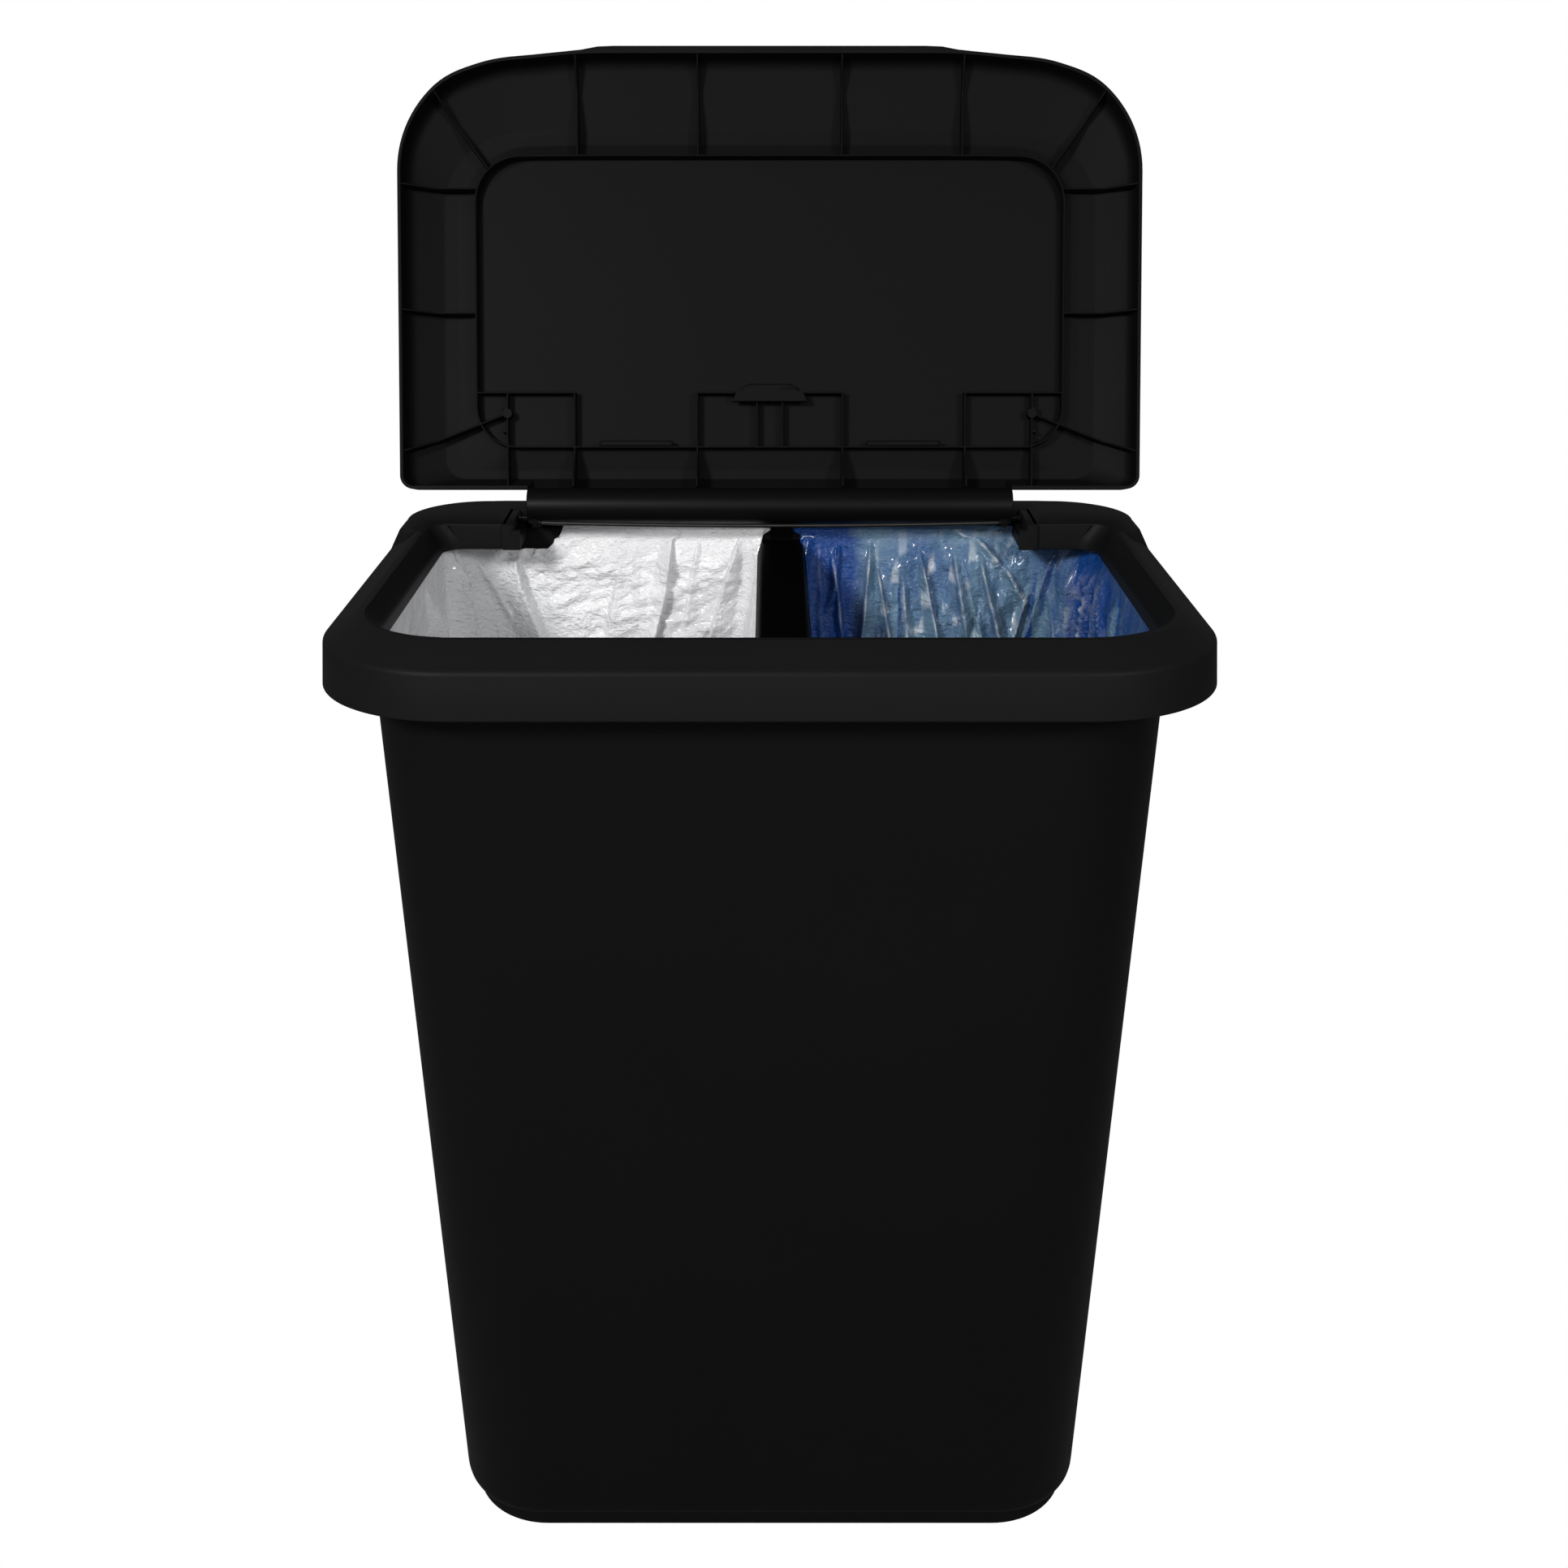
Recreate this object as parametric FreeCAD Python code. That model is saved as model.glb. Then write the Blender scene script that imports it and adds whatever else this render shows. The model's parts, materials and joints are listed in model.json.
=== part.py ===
import FreeCAD, Part
import math
import os

# Double recycling bin: one tapered tub, split by a hollow divider into two lined compartments,
# under a lift-off collar that carries a full-width hinged lid. Millimetres, +Z up, +X to the
# right, +Y to the back. The origin is the middle of the base, on the floor.

# Collar: the frame that sits over the tub's rim
COLLAR_WIDTH = 550.0  # along the crease where the skirt meets the bevel
COLLAR_DEPTH = 388.0
DECK_HEIGHT = 694.0  # flat top of the rear deck above the floor
CREASE_DROP = 13.7  # crease below the deck
SKIRT_HEIGHT = 28.7  # skirt below the crease
SKIRT_DRAFT = 2.5  # how far the skirt flares outwards at its hem
FRONT_CORNER = 88.0
REAR_CORNER = 60.0
COLLAR_WALL = 2.8
BEVEL_RUN = 21.0  # bevel from the crease in to the ridge
RIDGE_LAND = 5.0  # rounded top between the bevel and the opening
FUNNEL_DEPTH = 19.0  # inner lip that keeps the bags tucked in
FUNNEL_BEND = 12.0  # below the deck, where the funnel turns steep
MOUTH_FLARE = 1.4  # rounding of the opening's upper edge
DECK_LENGTH = 79.0  # flat rear deck, back edge to opening
DECK_TUCK = 7.0  # how far the deck's top edge stands in from the crease
SHOULDER_RUN = 13.0  # the deck's shoulder reaches this far in front of the opening's rear edge
SHOULDER_CORNER = 24.0
SHOULDER_RISE = 8.0  # the shoulder's slope, front to back
DECK_BACK_TUCK = 1.0  # how far the deck's back edge leans in
CREASE_EASE = 2.2  # how far from a corner its rounding starts
RIDGE_EASE = 2.4
DECK_EASE = 1.5
SEAT_RIB_Y = (-90.0, -10.0, 70.0)
SEAT_RIB_X = (-150.0, -60.0, 60.0, 150.0)
SEAT_RIB = 2.2
SEAT_RIB_DEPTH = 30.0
RIM_PLAY = 1.2  # seat ribs to the edge of the tub's rim

# Tub
TUB_OVERHANG = 28.0  # collar crease to tub rim, all round
TUB_WALL = 3.0
SIDE_TAPER = 17.0  # each side leans in by this from rim to base
END_TAPER = 18.0  # front and back lean in by this
TUB_TOP_CORNER = 62.0
TUB_BASE_CORNER = 64.0
BASE_ROUND = 9.0
FOOT_HEIGHT = 16.0
FOOT_INSET = 7.5
FOOT_CORNER = 58.0
RIM_FLANGE = 10.0
RIM_LIP_DROP = 9.0
LEDGE_DROP = 47.0  # bead under the collar's hem, below the deck
LEDGE_HEIGHT = 5.0
LEDGE_PROUD = 1.6

# Divider
DIVIDER_OFFSET = 8.8  # right of the middle
DIVIDER_WIDTH = 35.0
DIVIDER_SPREAD = 5.0  # wider by this at its foot
DIVIDER_WALL = 2.4
DIVIDER_DROP = 23.0  # its top below the deck
DIVIDER_END_CORNER = 12.0
DIVIDER_TOP_ROUND = 9.5
DIVIDER_GAP = 0.9  # to the tub's walls
HOOK_WIDTH = 15.4
HOOK_ROOT_WIDTH = 19.0
HOOK_THICK = 2.4
PLINTH_HEIGHT = 12.0

# Bags
FILM = 0.8
FILM_GAP = 0.3
BAG_LIFT = 1.0  # bottom of a bag above the rounding of the tub's foot
BAG_CORNER = 18.0  # beside the divider

# Hinge
AXIS_SETBACK = 45.3  # hinge axis in front of the deck's back edge
AXIS_DROP = 3.3  # below the deck
OPEN_ANGLE = 108.9  # from shut to resting on its stop
BARREL_RADIUS = 13.2
BARREL_OFFSET = 9.2  # barrel centre from the hinge axis
HINGE_SIDE = 94.5  # barrel end to the collar's side
BARREL_LENGTH = COLLAR_WIDTH - 2 * HINGE_SIDE
BARREL_WALL = 2.2
BARREL_CAP = 8.0
PIN_RADIUS = 2.8
PIN_PLAY = 0.05
PIN_ENGAGED = 7.0  # pin length inside the barrel's cap
PIN_RING_RADIUS = 4.0
PIN_RING = 1.6
RECESS_SIDE_GAP = 3.1  # barrel end to recess wall
SLOT_WIDTH = 9.9
SLOT_DEPTH = 8.0
RECESS_REAR = 12.8  # recess edge behind the axis
BOSS_RADIUS = 5.6
BOSS_LENGTH = 7.0
ROD_RADIUS = 1.5
ROD_INSET = 6.0  # rod end inside the barrel's end
ROD_HALF = BARREL_LENGTH / 2 - ROD_INSET
ROD_FORWARD = 11.0  # in front of the axis while the lid is open
ROD_DROP = 1.0
ROD_SAG = 2.4
CLIP_LENGTH = 4.2
CLIP_DEPTH = 4.4
CLIP_WIDTH = 6.0
ROD_RING = 1.8
ROD_RING_RADIUS = 3.0

# Lid
LID_WALL = 2.4
LID_RISE = 30.0  # hem to the top of its panel
LID_SET = 0.8  # lid hem above the collar's crease when shut
LID_FRONT_SET = 1.5  # lid hem behind the collar's front crease
LID_REAR = 20.4  # rear edge in front of the axis, outside the hinge
HOOD_REAR = 10.8  # rear edge in front of the axis, over the barrel
REAR_CLEAR = 1.0  # lid above the deck when shut
RING_SIDE = 56.5  # ring rib in from the lid's side
RING_FRONT = 71.0
RING_REAR = 52.7  # ring rib in front of the axis
RING_CORNER = 34.0
RIB = 2.2
RIB_EDGE = 15.0  # free edges of the ribs above the hem plane
BOX_FRONT = 94.0  # hinge boxes end this far in front of the axis
LEG_EDGE = 4.0  # legs reach down to here over the barrel
INNER_LEG = 54.5
OUTER_LEG = 146.6
POST = 197.0
FRONT_RIBS = (53.5, 143.6)
SIDE_RIBS = (245.0, 153.0)  # in front of the axis
LIP_HALF = 141.0
LIP_RAMP = 17.0
LIP_PROUD = 2.8
LIP_HEIGHT = 7.0
CATCH_HALF = 25.0
CATCH_DROP = 7.0  # catch plate below the ribs' free edges
STAY_OFFSET = 9.5
TAB_NEAR = 72.5
TAB_FAR = 128.0
TAB_THICK = 4.6

HALF_WIDTH = COLLAR_WIDTH / 2
HALF_DEPTH = COLLAR_DEPTH / 2
CREASE = DECK_HEIGHT - CREASE_DROP
HEM = CREASE - SKIRT_HEIGHT
RIM_TOP = CREASE
AXIS_Y = HALF_DEPTH - AXIS_SETBACK
AXIS_Z = DECK_HEIGHT - AXIS_DROP
OPENING_REAR = HALF_DEPTH - DECK_LENGTH
RECESS_HALF = BARREL_LENGTH / 2 + RECESS_SIDE_GAP
SLOT_OUTER = RECESS_HALF + SLOT_WIDTH
RECESS_EDGE = AXIS_Y + RECESS_REAR
RIM_HALF = HALF_WIDTH - TUB_OVERHANG
RIM_DEPTH = HALF_DEPTH - TUB_OVERHANG
LID_HEM = CREASE + LID_SET
FLOOR_TOP = TUB_WALL
DIVIDER_TOP = DECK_HEIGHT - DIVIDER_DROP
FILM_ROOM = FILM + 2 * FILM_GAP


def outline(z, left, right, front, back, corners):
    """Rounded rectangle at height z; corners are the radii front-left, front-right, back-right, back-left."""
    fl, fr, br, bl = corners
    k = math.sqrt(0.5)

    def at(x, y):
        return FreeCAD.Vector(x, y, z)

    def bend(cx, cy, r, a, b, c):
        return Part.Arc(at(cx + r * a[0], cy + r * a[1]), at(cx + r * b[0], cy + r * b[1]),
                        at(cx + r * c[0], cy + r * c[1])).toShape()

    edges = [
        Part.makeLine(at(left + fl, front), at(right - fr, front)),
        bend(right - fr, front + fr, fr, (0, -1), (k, -k), (1, 0)),
        Part.makeLine(at(right, front + fr), at(right, back - br)),
        bend(right - br, back - br, br, (1, 0), (k, k), (0, 1)),
        Part.makeLine(at(right - br, back), at(left + bl, back)),
        bend(left + bl, back - bl, bl, (0, 1), (-k, k), (-1, 0)),
        Part.makeLine(at(left, back - bl), at(left, front + fl)),
        bend(left + fl, front + fl, fl, (-1, 0), (-k, -k), (0, -1)),
    ]
    return Part.Wire(edges)


def even(z, half, front, back, front_corner, back_corner):
    """Outline that is the same left and right."""
    return outline(z, -half, half, front, back, (front_corner, front_corner, back_corner, back_corner))


def loft(*wires):
    return Part.makeLoft(list(wires), True, True)


def box(x0, x1, y0, y1, z0, z1):
    return Part.makeBox(x1 - x0, y1 - y0, z1 - z0, FreeCAD.Vector(x0, y0, z0))


def rod_along_x(x0, x1, y, z, radius):
    return Part.makeCylinder(radius, x1 - x0, FreeCAD.Vector(x0, y, z), FreeCAD.Vector(1, 0, 0))


def prism(points, direction):
    """Solid from a flat polygon pushed along a vector."""
    wire = Part.makePolygon([FreeCAD.Vector(*p) for p in points + points[:1]])
    return Part.Face(wire).extrude(FreeCAD.Vector(*direction))


def mirrored(shape):
    return shape.mirror(FreeCAD.Vector(0, 0, 0), FreeCAD.Vector(1, 0, 0))


def joined(shapes):
    first, rest = shapes[0], shapes[1:]
    return first.fuse(rest).removeSplitter()


def mix(a, b, share):
    return a + (b - a) * share


def eased(before, corner, after, length):
    """Three profile points that round a corner, starting this far from it on both sides."""
    def towards(end):
        span = math.dist(corner, end)
        return tuple(mix(c, e, length / span) for c, e in zip(corner, end))
    start, stop = towards(before), towards(after)
    middle = tuple((a + 2 * c + b) / 4 for a, c, b in zip(start, corner, stop))
    return [start, middle, stop]


def quarter(radius, steps=3):
    """Distances in and up of a quarter round's points, from upright wall to flat top."""
    turns = [math.pi / 2 * step / steps for step in range(steps + 1)]
    return [(radius * (1 - math.cos(turn)), radius * math.sin(turn)) for turn in turns]


# ---------------------------------------------------------------- tub

def tub_share(z):
    """0 at the rim, 1 where the walls meet the foot."""
    return (RIM_TOP - z) / (RIM_TOP - FOOT_HEIGHT)


def tub_half(z):
    return RIM_HALF - SIDE_TAPER * tub_share(z)


def tub_end(z):
    return RIM_DEPTH - END_TAPER * tub_share(z)


def tub_corner(z):
    return mix(TUB_TOP_CORNER, TUB_BASE_CORNER, tub_share(z))


def tub_outline(z, inset):
    end = tub_end(z) - inset
    corner = tub_corner(z) - inset
    return even(z, tub_half(z) - inset, -end, end, corner, corner)


def foot_outline(z, inset):
    end = tub_end(FOOT_HEIGHT) - FOOT_INSET - inset
    half = tub_half(FOOT_HEIGHT) - FOOT_INSET - inset
    return even(z, half, -end, end, FOOT_CORNER - inset, FOOT_CORNER - inset)


def rim_band(z0, z1, inner, outer):
    """Upright band that follows the rim, between two distances outside it."""
    def ring(z, out):
        return even(z, RIM_HALF + out, -RIM_DEPTH - out, RIM_DEPTH + out,
                    TUB_TOP_CORNER + out, TUB_TOP_CORNER + out)
    return loft(ring(z0, outer), ring(z1, outer)).cut(loft(ring(z0, inner), ring(z1, inner)))


def tub_block(wall, top):
    """Walls' envelope, or with a wall its hollow, rounded below in three steps."""
    radius = BASE_ROUND - wall
    foot = FOOT_HEIGHT + wall + radius
    wires = [tub_outline(foot - rise, wall + inwards) for inwards, rise in reversed(quarter(radius))]
    return loft(*wires, tub_outline(top, wall))


def make_tub():
    foot = loft(foot_outline(0, 0), foot_outline(FOOT_HEIGHT + BASE_ROUND, 0))
    ledge_top = DECK_HEIGHT - LEDGE_DROP
    ledge = loft(tub_outline(ledge_top - LEDGE_HEIGHT, -LEDGE_PROUD), tub_outline(ledge_top, -LEDGE_PROUD))
    well = loft(foot_outline(FLOOR_TOP, TUB_WALL), foot_outline(FOOT_HEIGHT + BASE_ROUND, TUB_WALL))
    tub = joined([tub_block(0, RIM_TOP), foot, ledge]).cut(joined([tub_block(TUB_WALL, RIM_TOP + 1), well]))
    flange = rim_band(RIM_TOP - TUB_WALL, RIM_TOP, -TUB_WALL / 2, RIM_FLANGE)
    lip = rim_band(RIM_TOP - RIM_LIP_DROP, RIM_TOP, RIM_FLANGE - TUB_WALL, RIM_FLANGE)
    return joined([tub, flange, lip, make_plinth()])


def make_plinth():
    """Low block on the floor that the divider's open foot drops over."""
    half = divider_half(FLOOR_TOP) - DIVIDER_WALL - DIVIDER_GAP
    end = tub_end(FOOT_HEIGHT) - FOOT_INSET - TUB_WALL - FOOT_CORNER / 2
    return box(DIVIDER_OFFSET - half, DIVIDER_OFFSET + half, -end, end,
               FLOOR_TOP - TUB_WALL / 2, FLOOR_TOP + PLINTH_HEIGHT)


# ---------------------------------------------------------------- divider

def divider_half(z):
    share = (DIVIDER_TOP - z) / (DIVIDER_TOP - FLOOR_TOP)
    return (DIVIDER_WIDTH + DIVIDER_SPREAD * share) / 2


def divider_outline(z, inset, clear_z):
    """Slice of the divider at z, whose ends keep clear of the tub as at clear_z."""
    half = divider_half(z) - inset
    end = tub_end(clear_z) - TUB_WALL - DIVIDER_GAP - inset
    corner = DIVIDER_END_CORNER - inset
    return outline(z, DIVIDER_OFFSET - half, DIVIDER_OFFSET + half, -end, end, (corner,) * 4)


def divider_foot(z, inset):
    half = divider_half(z) - inset
    end = tub_end(FOOT_HEIGHT) - FOOT_INSET - TUB_WALL - DIVIDER_GAP - inset
    corner = DIVIDER_END_CORNER - inset
    return outline(z, DIVIDER_OFFSET - half, DIVIDER_OFFSET + half, -end, end, (corner,) * 4)


def divider_block(inset, top):
    """Divider's envelope: a short foot in the tub's well, then walls that follow the tub."""
    step = FOOT_HEIGHT + BASE_ROUND
    bottom = FLOOR_TOP + FILM_GAP - (1 if inset else 0)
    foot = loft(divider_foot(bottom, inset), divider_foot(step, inset))
    radius = DIVIDER_TOP_ROUND - inset
    crown = []
    for inwards, rise in quarter(radius):
        z = top - radius + rise
        crown.append(divider_outline(z, inset + inwards, z))
    body = loft(divider_foot(step, inset), divider_outline(step + BASE_ROUND, inset, step), *crown)
    return joined([foot, body])


def make_hook(side):
    """Tapered neck at one end that climbs the wall and turns over the tub's rim."""
    wall = tub_end(DIVIDER_TOP) - TUB_WALL - DIVIDER_GAP
    root = DIVIDER_TOP - DIVIDER_TOP_ROUND - HOOK_THICK
    top = RIM_TOP + FILM_GAP + HOOK_THICK
    far = RIM_DEPTH + RIM_FLANGE
    left, right = DIVIDER_OFFSET - HOOK_WIDTH / 2, DIVIDER_OFFSET + HOOK_WIDTH / 2
    spread = (HOOK_ROOT_WIDTH - HOOK_WIDTH) / 2
    front = [(left - spread, root), (right + spread, root), (right, top), (left, top)]
    neck = prism([(x, wall, z) for x, z in front], (0, -HOOK_THICK, 0))
    arm = box(left, right, wall - HOOK_THICK / 2, far, top - HOOK_THICK, top)
    ledge = box(DIVIDER_OFFSET - DIVIDER_WIDTH / 2 + 3, DIVIDER_OFFSET + DIVIDER_WIDTH / 2 - 3,
                wall - HOOK_THICK, wall, DIVIDER_TOP - DIVIDER_TOP_ROUND, DIVIDER_TOP)
    hook = joined([neck, arm, ledge])
    if side < 0:
        hook = hook.mirror(FreeCAD.Vector(0, 0, 0), FreeCAD.Vector(0, 1, 0))
    return hook


def make_divider():
    walls = divider_block(0, DIVIDER_TOP).cut(divider_block(DIVIDER_WALL, DIVIDER_TOP - DIVIDER_WALL))
    return joined([walls, make_hook(1), make_hook(-1)])


# ---------------------------------------------------------------- bags

def bag_outline(z, side, inset):
    """Slice of one compartment, just inside the tub and beside the divider."""
    gap = TUB_WALL + FILM_GAP + inset
    half, end, corner = tub_half(z) - gap, tub_end(z) - gap, tub_corner(z) - gap
    near = divider_half(z) + FILM_GAP + inset
    inner = BAG_CORNER - inset
    if side < 0:
        return outline(z, -half, DIVIDER_OFFSET - near, -end, end, (corner, inner, inner, corner))
    return outline(z, DIVIDER_OFFSET + near, half, -end, end, (inner, corner, corner, inner))


def make_bag(side):
    """Open bag: film pouch in its compartment, with the hem turned out over the tub's rim."""
    bottom = FOOT_HEIGHT + BASE_ROUND + BAG_LIFT
    hem_top = RIM_TOP + FILM_GAP + FILM
    pouch = loft(bag_outline(bottom, side, 0), bag_outline(hem_top, side, 0)).cut(
        loft(bag_outline(bottom + FILM, side, FILM), bag_outline(hem_top + 1, side, FILM)))
    reach = DIVIDER_WIDTH / 2 + FILM_GAP + BAG_CORNER + FILM
    over_divider = box(DIVIDER_OFFSET - reach, DIVIDER_OFFSET + reach, -HALF_DEPTH, HALF_DEPTH,
                       DIVIDER_TOP - DIVIDER_TOP_ROUND, DECK_HEIGHT)
    hem = rim_band(hem_top - FILM, hem_top, -TUB_WALL - FILM_GAP - FILM / 2, RIM_FLANGE - FILM_GAP)
    near, far = sorted((DIVIDER_OFFSET + side * reach, side * HALF_WIDTH))
    hem = hem.common(box(near, far, -HALF_DEPTH, HALF_DEPTH, 0, DECK_HEIGHT))
    return joined([pouch.cut(over_divider), hem])


# ---------------------------------------------------------------- collar

def collar_outline(z, inset, back_inset=None):
    back = HALF_DEPTH - (inset if back_inset is None else back_inset)
    return even(z, HALF_WIDTH - inset, -HALF_DEPTH + inset, back, FRONT_CORNER - inset, REAR_CORNER - inset)


def collar_shell():
    """Skirt, bevel and deck as one closed block, with the crease and the top edges eased."""
    hem, crease = (-SKIRT_DRAFT, HEM), (0.0, CREASE)
    ridge, land = (BEVEL_RUN, DECK_HEIGHT), (BEVEL_RUN + RIDGE_LAND, DECK_HEIGHT)
    profile = [hem] + eased(hem, crease, ridge, CREASE_EASE) + eased(crease, ridge, land, RIDGE_EASE)
    band = loft(*[collar_outline(z, inset) for inset, z in profile])
    edge = (DECK_TUCK, DECK_HEIGHT)
    profile = eased(hem, crease, edge, CREASE_EASE) + eased(crease, edge, land, DECK_EASE)
    return joined([band, loft(*[deck_outline(z, inset, 0) for inset, z in profile])])


def collar_cavity():
    """Space under the collar's walls."""
    lift = COLLAR_WALL * 1.15
    crease = collar_outline(CREASE - lift / 2, COLLAR_WALL)
    skirt = loft(collar_outline(HEM - 1, COLLAR_WALL - SKIRT_DRAFT), crease)
    bevel = loft(crease, collar_outline(DECK_HEIGHT - lift, BEVEL_RUN + COLLAR_WALL * 0.3))
    deck = loft(deck_outline(CREASE - lift / 2, 0, COLLAR_WALL),
                deck_outline(DECK_HEIGHT - lift, DECK_TUCK, COLLAR_WALL))
    return joined([skirt, bevel, deck])


def deck_outline(z, inset, wall):
    """Slice of the rear deck; its front edge is a shoulder across the side bevels."""
    front = OPENING_REAR - SHOULDER_RUN - SHOULDER_RISE * (1 - inset / DECK_TUCK) + wall
    back = HALF_DEPTH - DECK_BACK_TUCK * inset / DECK_TUCK - wall
    return even(z, HALF_WIDTH - inset - wall, front, back, SHOULDER_CORNER, REAR_CORNER - wall)


def opening_level(drop, inset, rear, back_corner, grow):
    """Slice of the opening, this far below the deck; grow takes it out into the walls."""
    half, front = HALF_WIDTH - inset + grow, -HALF_DEPTH + inset - grow
    corner = TUB_TOP_CORNER + TUB_OVERHANG - inset + grow
    return even(DECK_HEIGHT - drop, half, front, OPENING_REAR - rear + grow, corner, back_corner + grow)


def opening_cut(grow, above, below):
    """Opening from the ridge down through the funnel, with straight ends above and below."""
    ridge = (BEVEL_RUN + RIDGE_LAND, 0, 14.0)
    throat_inset = TUB_OVERHANG + TUB_WALL + FILM_ROOM + COLLAR_WALL
    throat = (throat_inset, 2.0, 20.0)
    foot = (throat_inset + 1.3, 2.8, 24.0)
    flare = MOUTH_FLARE if above and not grow else 0
    wires = [opening_level(-above, *ridge, grow + flare)] if above else []
    wires += [opening_level(drop, *ridge, grow + flare * (1 - drop / MOUTH_FLARE) ** 2)
              for drop in (0, MOUTH_FLARE / 2, MOUTH_FLARE)]
    wires += [opening_level(FUNNEL_BEND, *throat, grow), opening_level(FUNNEL_DEPTH, *foot, grow)]
    if below:
        wires.append(opening_level(FUNNEL_DEPTH + below, *foot, grow))
    return loft(*wires)


def seat_ribs(cavity):
    """Thin ribs under the bevel and deck that rest on the tub's rim."""
    low = DECK_HEIGHT - SEAT_RIB_DEPTH
    slabs = []
    for y in SEAT_RIB_Y:
        slabs.append(box(-HALF_WIDTH, HALF_WIDTH, y - SEAT_RIB / 2, y + SEAT_RIB / 2, low, DECK_HEIGHT))
    for x in SEAT_RIB_X:
        slabs.append(box(x - SEAT_RIB / 2, x + SEAT_RIB / 2, -HALF_DEPTH, HALF_DEPTH, low, DECK_HEIGHT))
    ribs = joined(slabs).common(cavity)
    rim_room = rim_band(low - 1, RIM_TOP + FILM_ROOM, 2 - TUB_TOP_CORNER, RIM_FLANGE + RIM_PLAY)
    inside = opening_cut(COLLAR_WALL / 2, 1, 60)
    recess_back = RECESS_EDGE + COLLAR_WALL / 2
    hinge_room = box(-HALF_WIDTH, HALF_WIDTH, OPENING_REAR - 20, recess_back, low - 1, DECK_HEIGHT)
    return ribs.cut(rim_room).cut(inside).cut(hinge_room)


def hinge_housing(side):
    """Cored block at one end of the recess, with the slot over it and the pin's boss outside."""
    inner, outer = RECESS_HALF, SLOT_OUTER + COLLAR_WALL
    front = OPENING_REAR - COLLAR_WALL
    rear = RIM_DEPTH - TUB_WALL - FILM_ROOM - COLLAR_WALL
    low = DECK_HEIGHT - FUNNEL_DEPTH
    block = box(inner, outer, front, rear, low, DECK_HEIGHT)
    core = box(inner + COLLAR_WALL, outer - COLLAR_WALL, OPENING_REAR, rear - COLLAR_WALL,
               low - 1, DECK_HEIGHT - SLOT_DEPTH - COLLAR_WALL)
    shelf_low = RIM_TOP + FILM_ROOM + FILM_GAP
    shelf = box(inner, outer, rear - COLLAR_WALL, RECESS_EDGE + COLLAR_WALL, shelf_low, DECK_HEIGHT)
    boss = rod_along_x(SLOT_OUTER, SLOT_OUTER + BOSS_LENGTH, AXIS_Y, AXIS_Z, BOSS_RADIUS)
    boss = boss.common(box(0, HALF_WIDTH, 0, HALF_DEPTH, HEM, DECK_HEIGHT))
    housing = joined([block.cut(core), shelf, boss])
    return housing if side > 0 else mirrored(housing)


def hinge_slots():
    """Recess for the barrel, a slot past each of its ends, and the pins' holes."""
    front = OPENING_REAR - 2 * COLLAR_WALL - 6
    recess = box(-RECESS_HALF, RECESS_HALF, front, RECESS_EDGE, HEM, DECK_HEIGHT + 1)
    slot = box(-SLOT_OUTER, SLOT_OUTER, front, RECESS_EDGE, DECK_HEIGHT - SLOT_DEPTH, DECK_HEIGHT + 1)
    reach = SLOT_OUTER + BOSS_LENGTH - 2
    holes = rod_along_x(-reach, reach, AXIS_Y, AXIS_Z, PIN_RADIUS)
    return joined([recess, slot, holes])


def hook_notch():
    """Gap in the front of the funnel where the divider's front hook passes."""
    half = HOOK_ROOT_WIDTH / 2 + 2
    return box(DIVIDER_OFFSET - half, DIVIDER_OFFSET + half, -RIM_DEPTH - 2, -RIM_DEPTH + 12,
               DECK_HEIGHT - FUNNEL_DEPTH - 1, RIM_TOP + HOOK_THICK + 2 * FILM_GAP)


def make_collar():
    shell = collar_shell()
    cavity = collar_cavity()
    funnel = opening_cut(COLLAR_WALL, 0, 0)
    lip_low = RIM_TOP + HOOK_THICK + 3 * FILM_GAP
    lip = box(-RECESS_HALF - COLLAR_WALL, RECESS_HALF + COLLAR_WALL, RECESS_EDGE, RECESS_EDGE + COLLAR_WALL,
              lip_low, DECK_HEIGHT)
    ribs = seat_ribs(cavity)
    frame = joined([shell.cut(cavity), funnel, lip, hinge_housing(1), hinge_housing(-1), ribs])
    frame = frame.cut(opening_cut(0, 2, 2)).cut(hinge_slots()).cut(hook_notch())
    return frame


# ---------------------------------------------------------------- lid, drawn shut

LID_LEVELS = (  # rise above the hem, set in at the sides, at the front, at the rear
    (0.0, 0.0, 0.0, 0.0),
    (9.0, 1.0, 1.0, 0.5),
    (16.0, 4.0, 4.5, 1.0),
    (21.5, 10.0, 12.0, 2.0),
    (25.5, 20.0, 25.0, 4.0),
    (28.4, 35.0, 44.0, 8.0),
    (LID_RISE, 54.0, 68.0, 13.0),
)


def lid_outline(rise, side, front, rear, inset):
    y_front = -HALF_DEPTH + LID_FRONT_SET + front + inset
    corner = FRONT_CORNER - front * 0.55 - inset
    return even(LID_HEM + rise, HALF_WIDTH - side - inset, y_front, AXIS_Y - LID_REAR - rear - inset,
                corner, 16.0 + rear - inset)


def lid_dome(inset, drop):
    """Domed block of the lid, hem to panel; inset and drop take it in to the inner face."""
    wires = [lid_outline(rise - drop if i else rise - (1 if inset else 0), side, front, rear, inset)
             for i, (rise, side, front, rear) in enumerate(LID_LEVELS)]
    return loft(*wires)


def rib_room():
    """All that lies under the ribs' free edges: the bevel's slope, then a flat level."""
    low = lid_outline(1.5, 1.0, 1.0, 1.0, LID_WALL)
    edge = lid_outline(RIB_EDGE, BEVEL_RUN + 2, BEVEL_RUN + 2, 2.0, LID_WALL)
    base = lid_outline(-2.0, 0, 0, 0, 0)
    hem = lid_outline(1.5, 0, 0, 0, 0)
    return joined([loft(base, hem), loft(low, edge)])


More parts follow.
